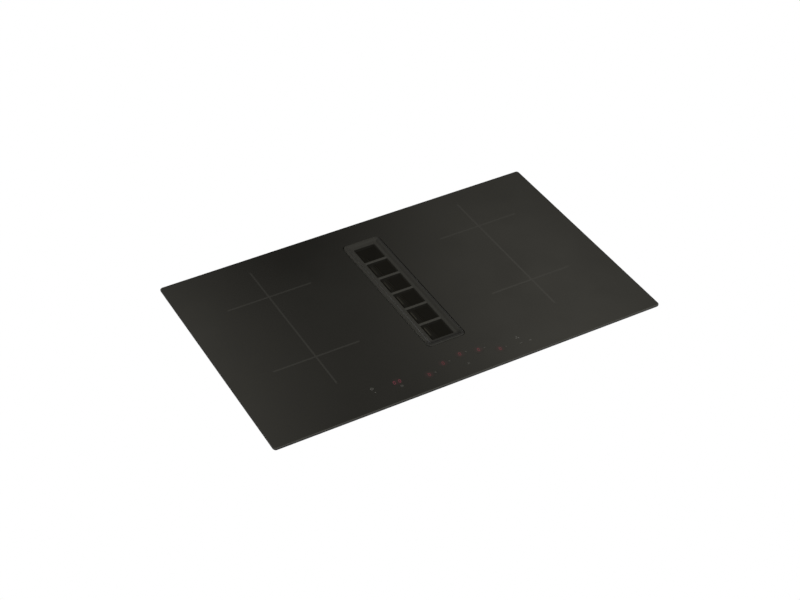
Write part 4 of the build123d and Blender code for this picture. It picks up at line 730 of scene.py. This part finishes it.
class PrintMesh:
    """Thin closed plates on the glass, gathered into one mesh."""

    def __init__(self, level):
        self.level = level
        self.points = []
        self.faces = []
        self.shares = []

    def add_point(self, place, z, share):
        """One corner with its share. Returns its number."""
        self.points.append((place.x, place.y, z))
        self.shares.append(share)
        return len(self.points) - 1

    def band(self, one, two):
        """Faces between two rings of points with the same count."""
        for i in range(len(one)):
            n = (i + 1) % len(one)
            self.faces.append((one[i], one[n], two[n], two[i]))

    def stroke(self, points, width, closed=False, shares=(0.0, 1.0)):
        """A line along the points, or round them when closed."""
        left, right = edges_of_stroke(points, width, closed)
        count = len(points)
        rings = []
        for i in range(count):
            share = shares[0] + (shares[1] - shares[0]) * i / (count - 1)
            rings.append([self.add_point(place, z, share)
                          for place, z in ((left[i], self.level), (right[i], self.level),
                                           (right[i], self.level + PRINT_T),
                                           (left[i], self.level + PRINT_T))])
        spans = count if closed else count - 1
        for i in range(spans):
            self.band(rings[i], rings[(i + 1) % count])
        if not closed:
            self.faces.append(tuple(reversed(rings[0])))
            self.faces.append(tuple(rings[-1]))

    def plate(self, outline):
        """A filled shape with a counter-clockwise outline."""
        low = [self.add_point(p, self.level, 0.5) for p in outline]
        high = [self.add_point(p, self.level + PRINT_T, 0.5) for p in outline]
        self.faces.append(tuple(reversed(low)))
        self.faces.append(tuple(high))
        self.band(low, high)

    def disc(self, centre, radius, rings, steps):
        """A round plate. Its shares run from nought in the middle to one at the edge."""
        low = [self.add_point(p, self.level, 1.0)
               for p in circle_points(centre, radius, steps=steps)]
        self.faces.append(tuple(reversed(low)))
        outer = low
        for ring in range(rings, 0, -1):
            spots = circle_points(centre, radius * ring / rings, steps=steps)
            inner = [self.add_point(p, self.level + PRINT_T, ring / rings) for p in spots]
            self.band(outer, inner)
            outer = inner
        middle = self.add_point(centre, self.level + PRINT_T, 0.0)
        for i in range(steps):
            self.faces.append((outer[i], outer[(i + 1) % steps], middle))

    def make(self, name, material):
        """The finished piece, on the glass."""
        mesh = bpy.data.meshes.new(name)
        mesh.from_pydata(self.points, [], self.faces)
        layer = mesh.uv_layers.new(name="along")
        for loop in mesh.loops:
            layer.data[loop.index].uv = (self.shares[loop.vertex_index], 0.5)
        mesh.materials.append(material)
        piece = bpy.data.objects.new(name, mesh)
        bpy.context.scene.collection.objects.link(piece)
        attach(piece, "root")
        return piece


def circle_points(centre, radius, start=0.0, sweep=360.0, steps=24):
    """Points on an arc. A full circle doesn't repeat its first point."""
    whole = sweep >= 360.0
    count = steps if whole else steps + 1
    turns = [math.radians(start + sweep * i / steps) for i in range(count)]
    return [centre + radius * Vector((math.cos(t), math.sin(t))) for t in turns]


MARK_W = {"left": 3.4 * MM, "right": 4.0 * MM}
MARK_OUTWARD = {"left": -1.65 * MM, "right": 1.65 * MM}
ARM_W = 4.0 * MM
ARM_SHIFT = {"front": 1.7 * MM, "rear": -1.2 * MM}
MARK_ARM = 92.0 * MM
MARK_FRONT = -162.8 * MM
MARK_REAR = 220.3 * MM
MARK_GAP = 0.02 * MM


def zone_marks():
    """On each side a long line, crossed over both zones close to their middles."""
    for side, tone in MARK_TONE.items():
        marks = PrintMesh(GLASS_HIGH.z)
        for row in ("front", "rear"):
            low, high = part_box(f"winding_{row}_{side}")
            middle = (low + high) / 2
            line_x = middle.x + MARK_OUTWARD[side]
            arm_y = middle.y + ARM_SHIFT[row]
            for way in (-1, 1):
                start = Vector((line_x + way * (MARK_W[side] / 2 + MARK_GAP), arm_y))
                end = Vector((middle.x + way * MARK_ARM, arm_y))
                marks.stroke([start, end], ARM_W, shares=(0.5, 0.0))
        marks.stroke([Vector((line_x, MARK_FRONT)), Vector((line_x, MARK_REAR))], MARK_W[side])
        marks.make(f"zone_marks_{side}", mark_print(f"mark_print_{side}", tone))


SIGN_LINE = 1.0 * MM
POWER_R = 2.6 * MM
POWER_ARC = (125, 290)
POWER_BAR = (0.9 * MM, 3.6 * MM)
POWER_DOT_R = 1.0 * MM
CLOCK_R = 2.4 * MM
CLOCK_LINE = 0.8 * MM
HANDS = (1.5 * MM, 1.2 * MM)
HAND_LINE = 0.7 * MM
PAUSE_HALF_GAP = 1.3 * MM
PAUSE_HALF_L = 2.3 * MM
PAUSE_LINE = 1.1 * MM
HUB_R = 0.9 * MM
BLADE_OUT = 2.8 * MM
BLADE_R = 1.6 * MM
BLADE_TURNS = (90, 210, 330)
BAR_HALF = 2.6 * MM
BAR_LINE = 1.3 * MM
PRINT_GAP = 0.02 * MM


def control_spot(x, y):
    """A place on the glass over the control board, in millimetres from its middle line."""
    return Vector((x * MM, CONTROL_Y + y * MM))


def power_sign(signs, at):
    """Open ring with an upright bar."""
    signs.stroke(circle_points(at, POWER_R, *POWER_ARC), SIGN_LINE)
    signs.stroke([at + Vector((0, end)) for end in POWER_BAR], SIGN_LINE)


def clock_sign(signs, at):
    """Ring with two hands."""
    signs.stroke(circle_points(at, CLOCK_R), CLOCK_LINE, closed=True)
    up, right = HANDS
    signs.stroke([at + Vector((0, up)), at, at + Vector((right, 0))], HAND_LINE)


def pause_sign(signs, at):
    """Two upright bars."""
    for x in (-PAUSE_HALF_GAP, PAUSE_HALF_GAP):
        ends = [at + Vector((x, y)) for y in (-PAUSE_HALF_L, PAUSE_HALF_L)]
        signs.stroke(ends, PAUSE_LINE)


def fan_sign(signs, at):
    """Three rotor blades round a hub."""
    signs.plate(circle_points(at, HUB_R, steps=12))
    for turn in BLADE_TURNS:
        way = math.radians(turn)
        out = Vector((math.cos(way), math.sin(way)))
        signs.plate(circle_points(at + out * BLADE_OUT, BLADE_R, steps=14))


def minus_sign(signs, at):
    """A short level bar."""
    signs.stroke([at - Vector((BAR_HALF, 0)), at + Vector((BAR_HALF, 0))], BAR_LINE)


def plus_sign(signs, at):
    """A cross of one long bar and two short ones."""
    minus_sign(signs, at)
    for way in (-1, 1):
        start = at + Vector((0, way * (BAR_LINE / 2 + PRINT_GAP)))
        signs.stroke([start, at + Vector((0, way * BAR_HALF))], BAR_LINE)


POWER_AT = (-189.9, 8.0)
POWER_DOT_AT = (-188.8, -3.2)
CLOCK_AT = (-137.4, -11.0)
PAUSE_AT = (1.8, -16.5)
FAN_AT = (119.3, 2.0)
MINUS_AT = (117.8, -14.5)
PLUS_AT = (137.8, -16.0)
DIGITS = [(-78.2, -8.5), (-40.2, 6.5), (0.0, 14.0), (37.1, 7.5), (74.6, -9.5)]
DOT_SIDE = 13.5
DOT_R = 1.8 * MM
TIMER_DIGITS = [(-146.0, 2.6), (-134.7, 2.6)]
DIGIT_W = 4.6 * MM
DIGIT_H = 8.6 * MM
SEGMENT_W = 1.15 * MM
SEGMENT_GAP = 0.12 * MM
DIGIT_LEAN = 0.12
HAZE_R = 11.0 * MM
HAZE_RINGS = 5
HAZE_STEPS = 24


def key_signs():
    """All signs of the touch keys, one piece each."""
    bright = screen_print("bright_print", BRIGHT_INK)
    pale = screen_print("pale_print", PALE_INK)
    signs = {
        "power_sign": (power_sign, POWER_AT, bright),
        "clock_sign": (clock_sign, CLOCK_AT, pale),
        "pause_sign": (pause_sign, PAUSE_AT, pale),
        "fan_sign": (fan_sign, FAN_AT, pale),
        "minus_sign": (minus_sign, MINUS_AT, pale),
        "plus_sign": (plus_sign, PLUS_AT, pale),
    }
    for name, (draw, at, ink) in signs.items():
        sign = PrintMesh(GLASS_HIGH.z)
        draw(sign, control_spot(*at))
        sign.make(name, ink)
    power_dot = PrintMesh(GLASS_HIGH.z)
    power_dot.plate(circle_points(control_spot(*POWER_DOT_AT), POWER_DOT_R, steps=16))
    power_dot.make("power_dot", bright)
    dots = PrintMesh(GLASS_HIGH.z)
    for x, y in DIGITS:
        dots.plate(circle_points(control_spot(x + DOT_SIDE, y), DOT_R, steps=16))
    dots.make("zone_dots", screen_print("dot_print", DOT_INK))


def segment(start, end):
    """A six-cornered bar with pointed ends."""
    way = (end - start).normalized()
    side = Vector((-way.y, way.x)) * SEGMENT_W / 2
    tip = way * SEGMENT_W / 2
    start = start + way * SEGMENT_GAP
    end = end - way * SEGMENT_GAP
    return [start, start + tip - side, end - tip - side, end, end - tip + side,
            start + tip + side]


def zero_digit(lamps, at):
    """Six of the seven segments: a nought."""
    half_w, half_h = (DIGIT_W - SEGMENT_W) / 2, (DIGIT_H - SEGMENT_W) / 2
    corners = [(-half_w, -half_h), (half_w, -half_h), (half_w, 0), (half_w, half_h),
               (-half_w, half_h), (-half_w, 0)]
    corners = [at + Vector((x + DIGIT_LEAN * y, y)) for x, y in corners]
    for i, corner in enumerate(corners):
        lamps.plate(segment(corner, corners[(i + 1) % len(corners)]))


def lit_digits(haze):
    """A nought for each zone on its arc and two in the timer, each in its haze."""
    zone_light, timer_light = lit_segments("zones"), lit_segments("timer")
    timer_at = [sum(axis) / len(TIMER_DIGITS) for axis in zip(*TIMER_DIGITS)]
    hazes = PrintMesh(GLASS_HIGH.z)
    for spot in [*DIGITS, timer_at]:
        hazes.disc(control_spot(*spot), HAZE_R, HAZE_RINGS, HAZE_STEPS)
    hazes.make("digit_haze", haze)
    for number, spot in enumerate(DIGITS, 1):
        lamps = PrintMesh(GLASS_HIGH.z + PRINT_T)
        zero_digit(lamps, control_spot(*spot))
        lamps.make(f"zone_digit_{number}", zone_light)
    lamps = PrintMesh(GLASS_HIGH.z + PRINT_T)
    for spot in TIMER_DIGITS:
        zero_digit(lamps, control_spot(*spot))
    lamps.make("timer_digits", timer_light)


# ---------------------------------------------------------------- dressing the solids
def dress(node, material):
    """The solid keeps its mesh and gets the material."""
    piece = nodes[node]
    if not piece.material_slots:
        piece.data.materials.append(material)
    for place in piece.material_slots:
        place.material = material


def dress_all():
    """Each node takes the finish of its own trade."""
    finishes = {
        black_glass(): ["glass_top"],
        foam_tape(): ["glass_seal", "duct_seal"],
        powder_coat(): ["intake_collar"],
        casting_enamel(): ["grille"],
        soft_rubber(): ["grille_pads", "motor_grommets", "cable_bush"],
        filter_mesh("filter_frame_steel", 7.6 * MM): ["filter_frame"],
        filter_mesh("filter_baffle_steel", 0.0): ["filter_baffles"],
        # The well's plastic takes the painted glow of the well.
        housing_plastic("well_plastic", **PAINTED_WELL_GLOW): ["intake_well"],
        housing_plastic("housing_plastic"): ["fan_tub", "fan_lid", "scroll_shell",
                                             "outlet_spigot"],
        tray_plastic(): ["drip_tray"],
        galvanised_sheet(): ["base_pan"],
        plated_spring(): ["worktop_clips", "touch_springs"],
        carrier_plastic(): ["board_posts", "control_holder", "coil_carrier_"],
        zinc_plate(): ["zone_sensors", "motor"],
        circuit_board("circuit_board"): ["control_board", "power_board_"],
        display_window(): ["displays"],
        impeller_plastic(): ["inlet_ring", "impeller"],
        ground_shaft(): ["motor_shaft"],
        terminal_plastic(): ["terminal_box", "terminal_lid", "terminal_block"],
        screw_zinc(): ["housing_screws"],
        mica_sheet(): ["mica_sheet_"],
        rolled_aluminium(): ["coil_plate_"],
        extruded_aluminium(): ["heat_sink_"],
        component_plastic(): ["board_components_"],
        fan_plastic(): ["fan_frame_", "fan_rotor_"],
        sintered_ferrite(): ["ferrites_"],
    }
    for material, names in finishes.items():
        for name in names:
            for node in nodes:
                if node == name or (name.endswith("_") and node.startswith(name)):
                    dress(node, material)
    for node in nodes:
        if node.startswith("winding_"):
            dress(node, litz_copper(node.replace("winding", "litz_copper"), node))


# ---------------------------------------------------------------- stage, world and lights
SLAB_T = 14.0 * MM
SLAB_MARGIN = {"left": 36.0 * MM, "right": 36.0 * MM, "front": 118.0 * MM, "rear": 36.0 * MM}
SLAB_UNDERCUT = 20.0 * MM
CUTOUT_W = 808.0 * MM
CUTOUT_D = 496.0 * MM
STAGE_WHITE = 0.82


def rectangle(left, right, front, rear, z):
    """Four corners, counter-clockwise from above."""
    return [(left, front, z), (right, front, z), (right, rear, z), (left, rear, z)]


def worktop_white():
    """Plain white, with no shading on the face that the camera looks down on."""
    material, tree, shader = bare_finish("worktop_white", Base_Color=grey(STAGE_WHITE),
                                         Roughness=0.7)
    normal = put(tree, "NewGeometry").outputs["Normal"]
    seen = put(tree, "LightPath").outputs["Is Camera Ray"]
    top = work_out(tree, "GREATER_THAN", axes(tree, normal)["Z"], 0.5)
    plain = tree.nodes.new("ShaderNodeEmission")
    chosen = tree.nodes.new("ShaderNodeMixShader")
    feed(tree, chosen.inputs[0], work_out(tree, "MULTIPLY", seen, top))
    feed(tree, chosen.inputs[1], shader.outputs[0])
    feed(tree, chosen.inputs[2], plain.outputs[0])
    feed(tree, tree.nodes["Material Output"].inputs["Surface"], chosen.outputs[0])
    return material


def worktop():
    """A piece of pale worktop with the cut-out, thinner towards its edge."""
    left = GLASS_LOW.x - SLAB_MARGIN["left"]
    right = GLASS_HIGH.x + SLAB_MARGIN["right"]
    front = GLASS_LOW.y - SLAB_MARGIN["front"]
    rear = GLASS_HIGH.y + SLAB_MARGIN["rear"]
    cut = SLAB_UNDERCUT
    half_w, half_d = CUTOUT_W / 2, CUTOUT_D / 2
    loops = [
        rectangle(left, right, front, rear, 0.0),
        rectangle(left + cut, right - cut, front + cut, rear - cut, -SLAB_T),
        rectangle(-half_w, half_w, -half_d, half_d, -SLAB_T),
        rectangle(-half_w, half_w, -half_d, half_d, 0.0),
    ]
    points = [p for loop in loops for p in loop]
    faces = []
    for a in range(4):
        b = (a + 1) % 4
        for i in range(4):
            n = (i + 1) % 4
            faces.append((4 * a + i, 4 * b + i, 4 * b + n, 4 * a + n))
    mesh = bpy.data.meshes.new("worktop")
    mesh.from_pydata(points, [], faces)
    mesh.materials.append(worktop_white())
    slab = bpy.data.objects.new("worktop", mesh)
    bpy.context.scene.collection.objects.link(slab)


# Light that glossy faces mirror, by how far the way lies across the photograph's view
ACROSS = (0.873, -0.487, 0.0)
ACROSS_RANGE = (-0.20, 0.20)
ACROSS_LIGHT = [(-0.16, 0.51), (-0.10, 0.19), (-0.05, 0.12), (0.0, 0.29), (0.06, 0.53),
                (0.11, 0.55), (0.15, 0.40)]
LOOK_UP = 0.62
LEAN = 0.8
# What is added to it by how high the way points
UP_RANGE = (0.54, 0.74)
UP_FLOOR = 0.40
UP_LIGHT = [(0.54, -0.36), (0.58, -0.13), (0.61, 0.0), (0.65, 0.13), (0.68, 0.11),
            (0.74, 0.04)]
MIRROR_GAIN = 1.18
MIRROR_TINT = (1.0, 0.963, 0.83, 1.0)
MIRRORED_BESIDE = 0.10
MIRRORED_BELOW = 0.5
BESIDE_HEIGHT = 0.375
HORIZON = 0.0
# Light on dull faces, and what the camera sees behind the object
SOFT_LIGHT = 0.4
SOFT_LIGHT_BELOW = 0.95
SOFT_STEP = 0.1
ROOM_GREY = 0.62
PHOTO_WAY = (0.49, 0.87, 0.0)
PHOTO_AHEAD = 0.52
PHOTO_HEIGHT = -0.45


def placed_stops(stops, low, high, lift=0.0):
    """Stops of a ramp from real places, with every value lifted."""
    return [((place - low) / (high - low), value + lift) for place, value in stops]


def share_of_way(tree, way, aim):
    """How far the way points along the aim."""
    step = put(tree, "VectorMath", {"operation": "DOT_PRODUCT"})
    feed(tree, step.inputs[0], way)
    feed(tree, step.inputs[1], aim)
    return step.outputs["Value"]


def blend_numbers(tree, factor, first, second):
    """Two numbers mixed by a factor."""
    return put(tree, "Mix", Factor=factor, A=first, B=second).outputs["Result"]


def mirrored_studio(tree, way, height, under):
    """What glossy faces mirror: graded panels high up, dim beside and even below."""
    raised = work_out(tree, "SUBTRACT", height, LOOK_UP)
    band = work_out(tree, "SUBTRACT", share_of_way(tree, way, ACROSS),
                    work_out(tree, "MULTIPLY", raised, LEAN))
    band = remap(tree, band, *ACROSS_RANGE)
    band_light = ramp(tree, band, placed_stops(ACROSS_LIGHT, *ACROSS_RANGE))
    rise = remap(tree, height, *UP_RANGE)
    rise_light = ramp(tree, rise, placed_stops(UP_LIGHT, *UP_RANGE, UP_FLOOR))
    panels = work_out(tree, "ADD", band_light, work_out(tree, "SUBTRACT", rise_light, UP_FLOOR))
    panels = work_out(tree, "MAXIMUM", panels, 0.0)
    panels = work_out(tree, "MULTIPLY", panels, MIRROR_GAIN)
    beside = below(tree, height, BESIDE_HEIGHT, 0.075)
    panels = blend_numbers(tree, beside, panels, MIRRORED_BESIDE)
    return blend_numbers(tree, under, panels, MIRRORED_BELOW)


def set_world():
    """White behind the photograph's view, grey to other views, graded in reflections."""
    world = bpy.data.worlds.new("studio")
    bpy.context.scene.world = world
    world.use_nodes = True
    tree = world.node_tree
    path = put(tree, "LightPath").outputs
    way = put(tree, "TexCoord").outputs["Generated"]
    height = axes(tree, way)["Z"]
    under = below(tree, height, HORIZON, 0.03)
    soft = remap(tree, height, -SOFT_STEP, SOFT_STEP, SOFT_LIGHT_BELOW, SOFT_LIGHT)
    mirrored = mirrored_studio(tree, way, height, under)
    light = blend_numbers(tree, path["Is Glossy Ray"], soft, mirrored)
    ahead = above(tree, share_of_way(tree, way, PHOTO_WAY), PHOTO_AHEAD, 0.02)
    behind_photo = work_out(tree, "MULTIPLY", below(tree, height, PHOTO_HEIGHT, 0.01), ahead)
    backdrop = remap(tree, behind_photo, 0.0, 1.0, ROOM_GREY, 1.0)
    light = blend_numbers(tree, path["Is Camera Ray"], light, backdrop)
    mirror_tint = blend_colours(tree, under, MIRROR_TINT, grey(1.0))
    tint = blend_colours(tree, path["Is Glossy Ray"], grey(1.0), mirror_tint)
    background = tree.nodes["Background"]
    feed(tree, background.inputs["Strength"], light)
    feed(tree, background.inputs["Color"], tint)


def soft_box(name, at, aim, size, watts, mirrored=True):
    """A square soft light that looks at the aim."""
    light = bpy.data.lights.new(name, "AREA")
    light.size = size
    light.energy = watts
    holder = bpy.data.objects.new(name, light)
    holder.location = at
    holder.rotation_euler = (Vector(aim) - Vector(at)).to_track_quat("-Z", "Y").to_euler()
    holder.visible_camera = False
    holder.visible_glossy = mirrored
    bpy.context.scene.collection.objects.link(holder)


def set_lights():
    """Overhead key, a front fill for the ground edge, and low fills for the casing."""
    soft_box("key", (1.6, -1.9, 1.6), (0, 0, 0), size=0.8, watts=62, mirrored=False)
    soft_box("front_fill", (-0.6, -2.4, 1.2), (0, -0.2, 0), size=1.2, watts=8, mirrored=False)
    soft_box("low_left", (-2.2, -1.2, -0.5), (0, 0, -0.1), size=1.4, watts=14)
    soft_box("low_right", (2.2, 1.0, -0.3), (0, 0, -0.1), size=1.4, watts=10)


# ---------------------------------------------------------------- the scene
set_camera()
dress_all()
zone_marks()
key_signs()
lit_digits(lamp_haze())
worktop()
set_world()
set_lights()
bpy.context.scene.view_settings.view_transform = "Standard"
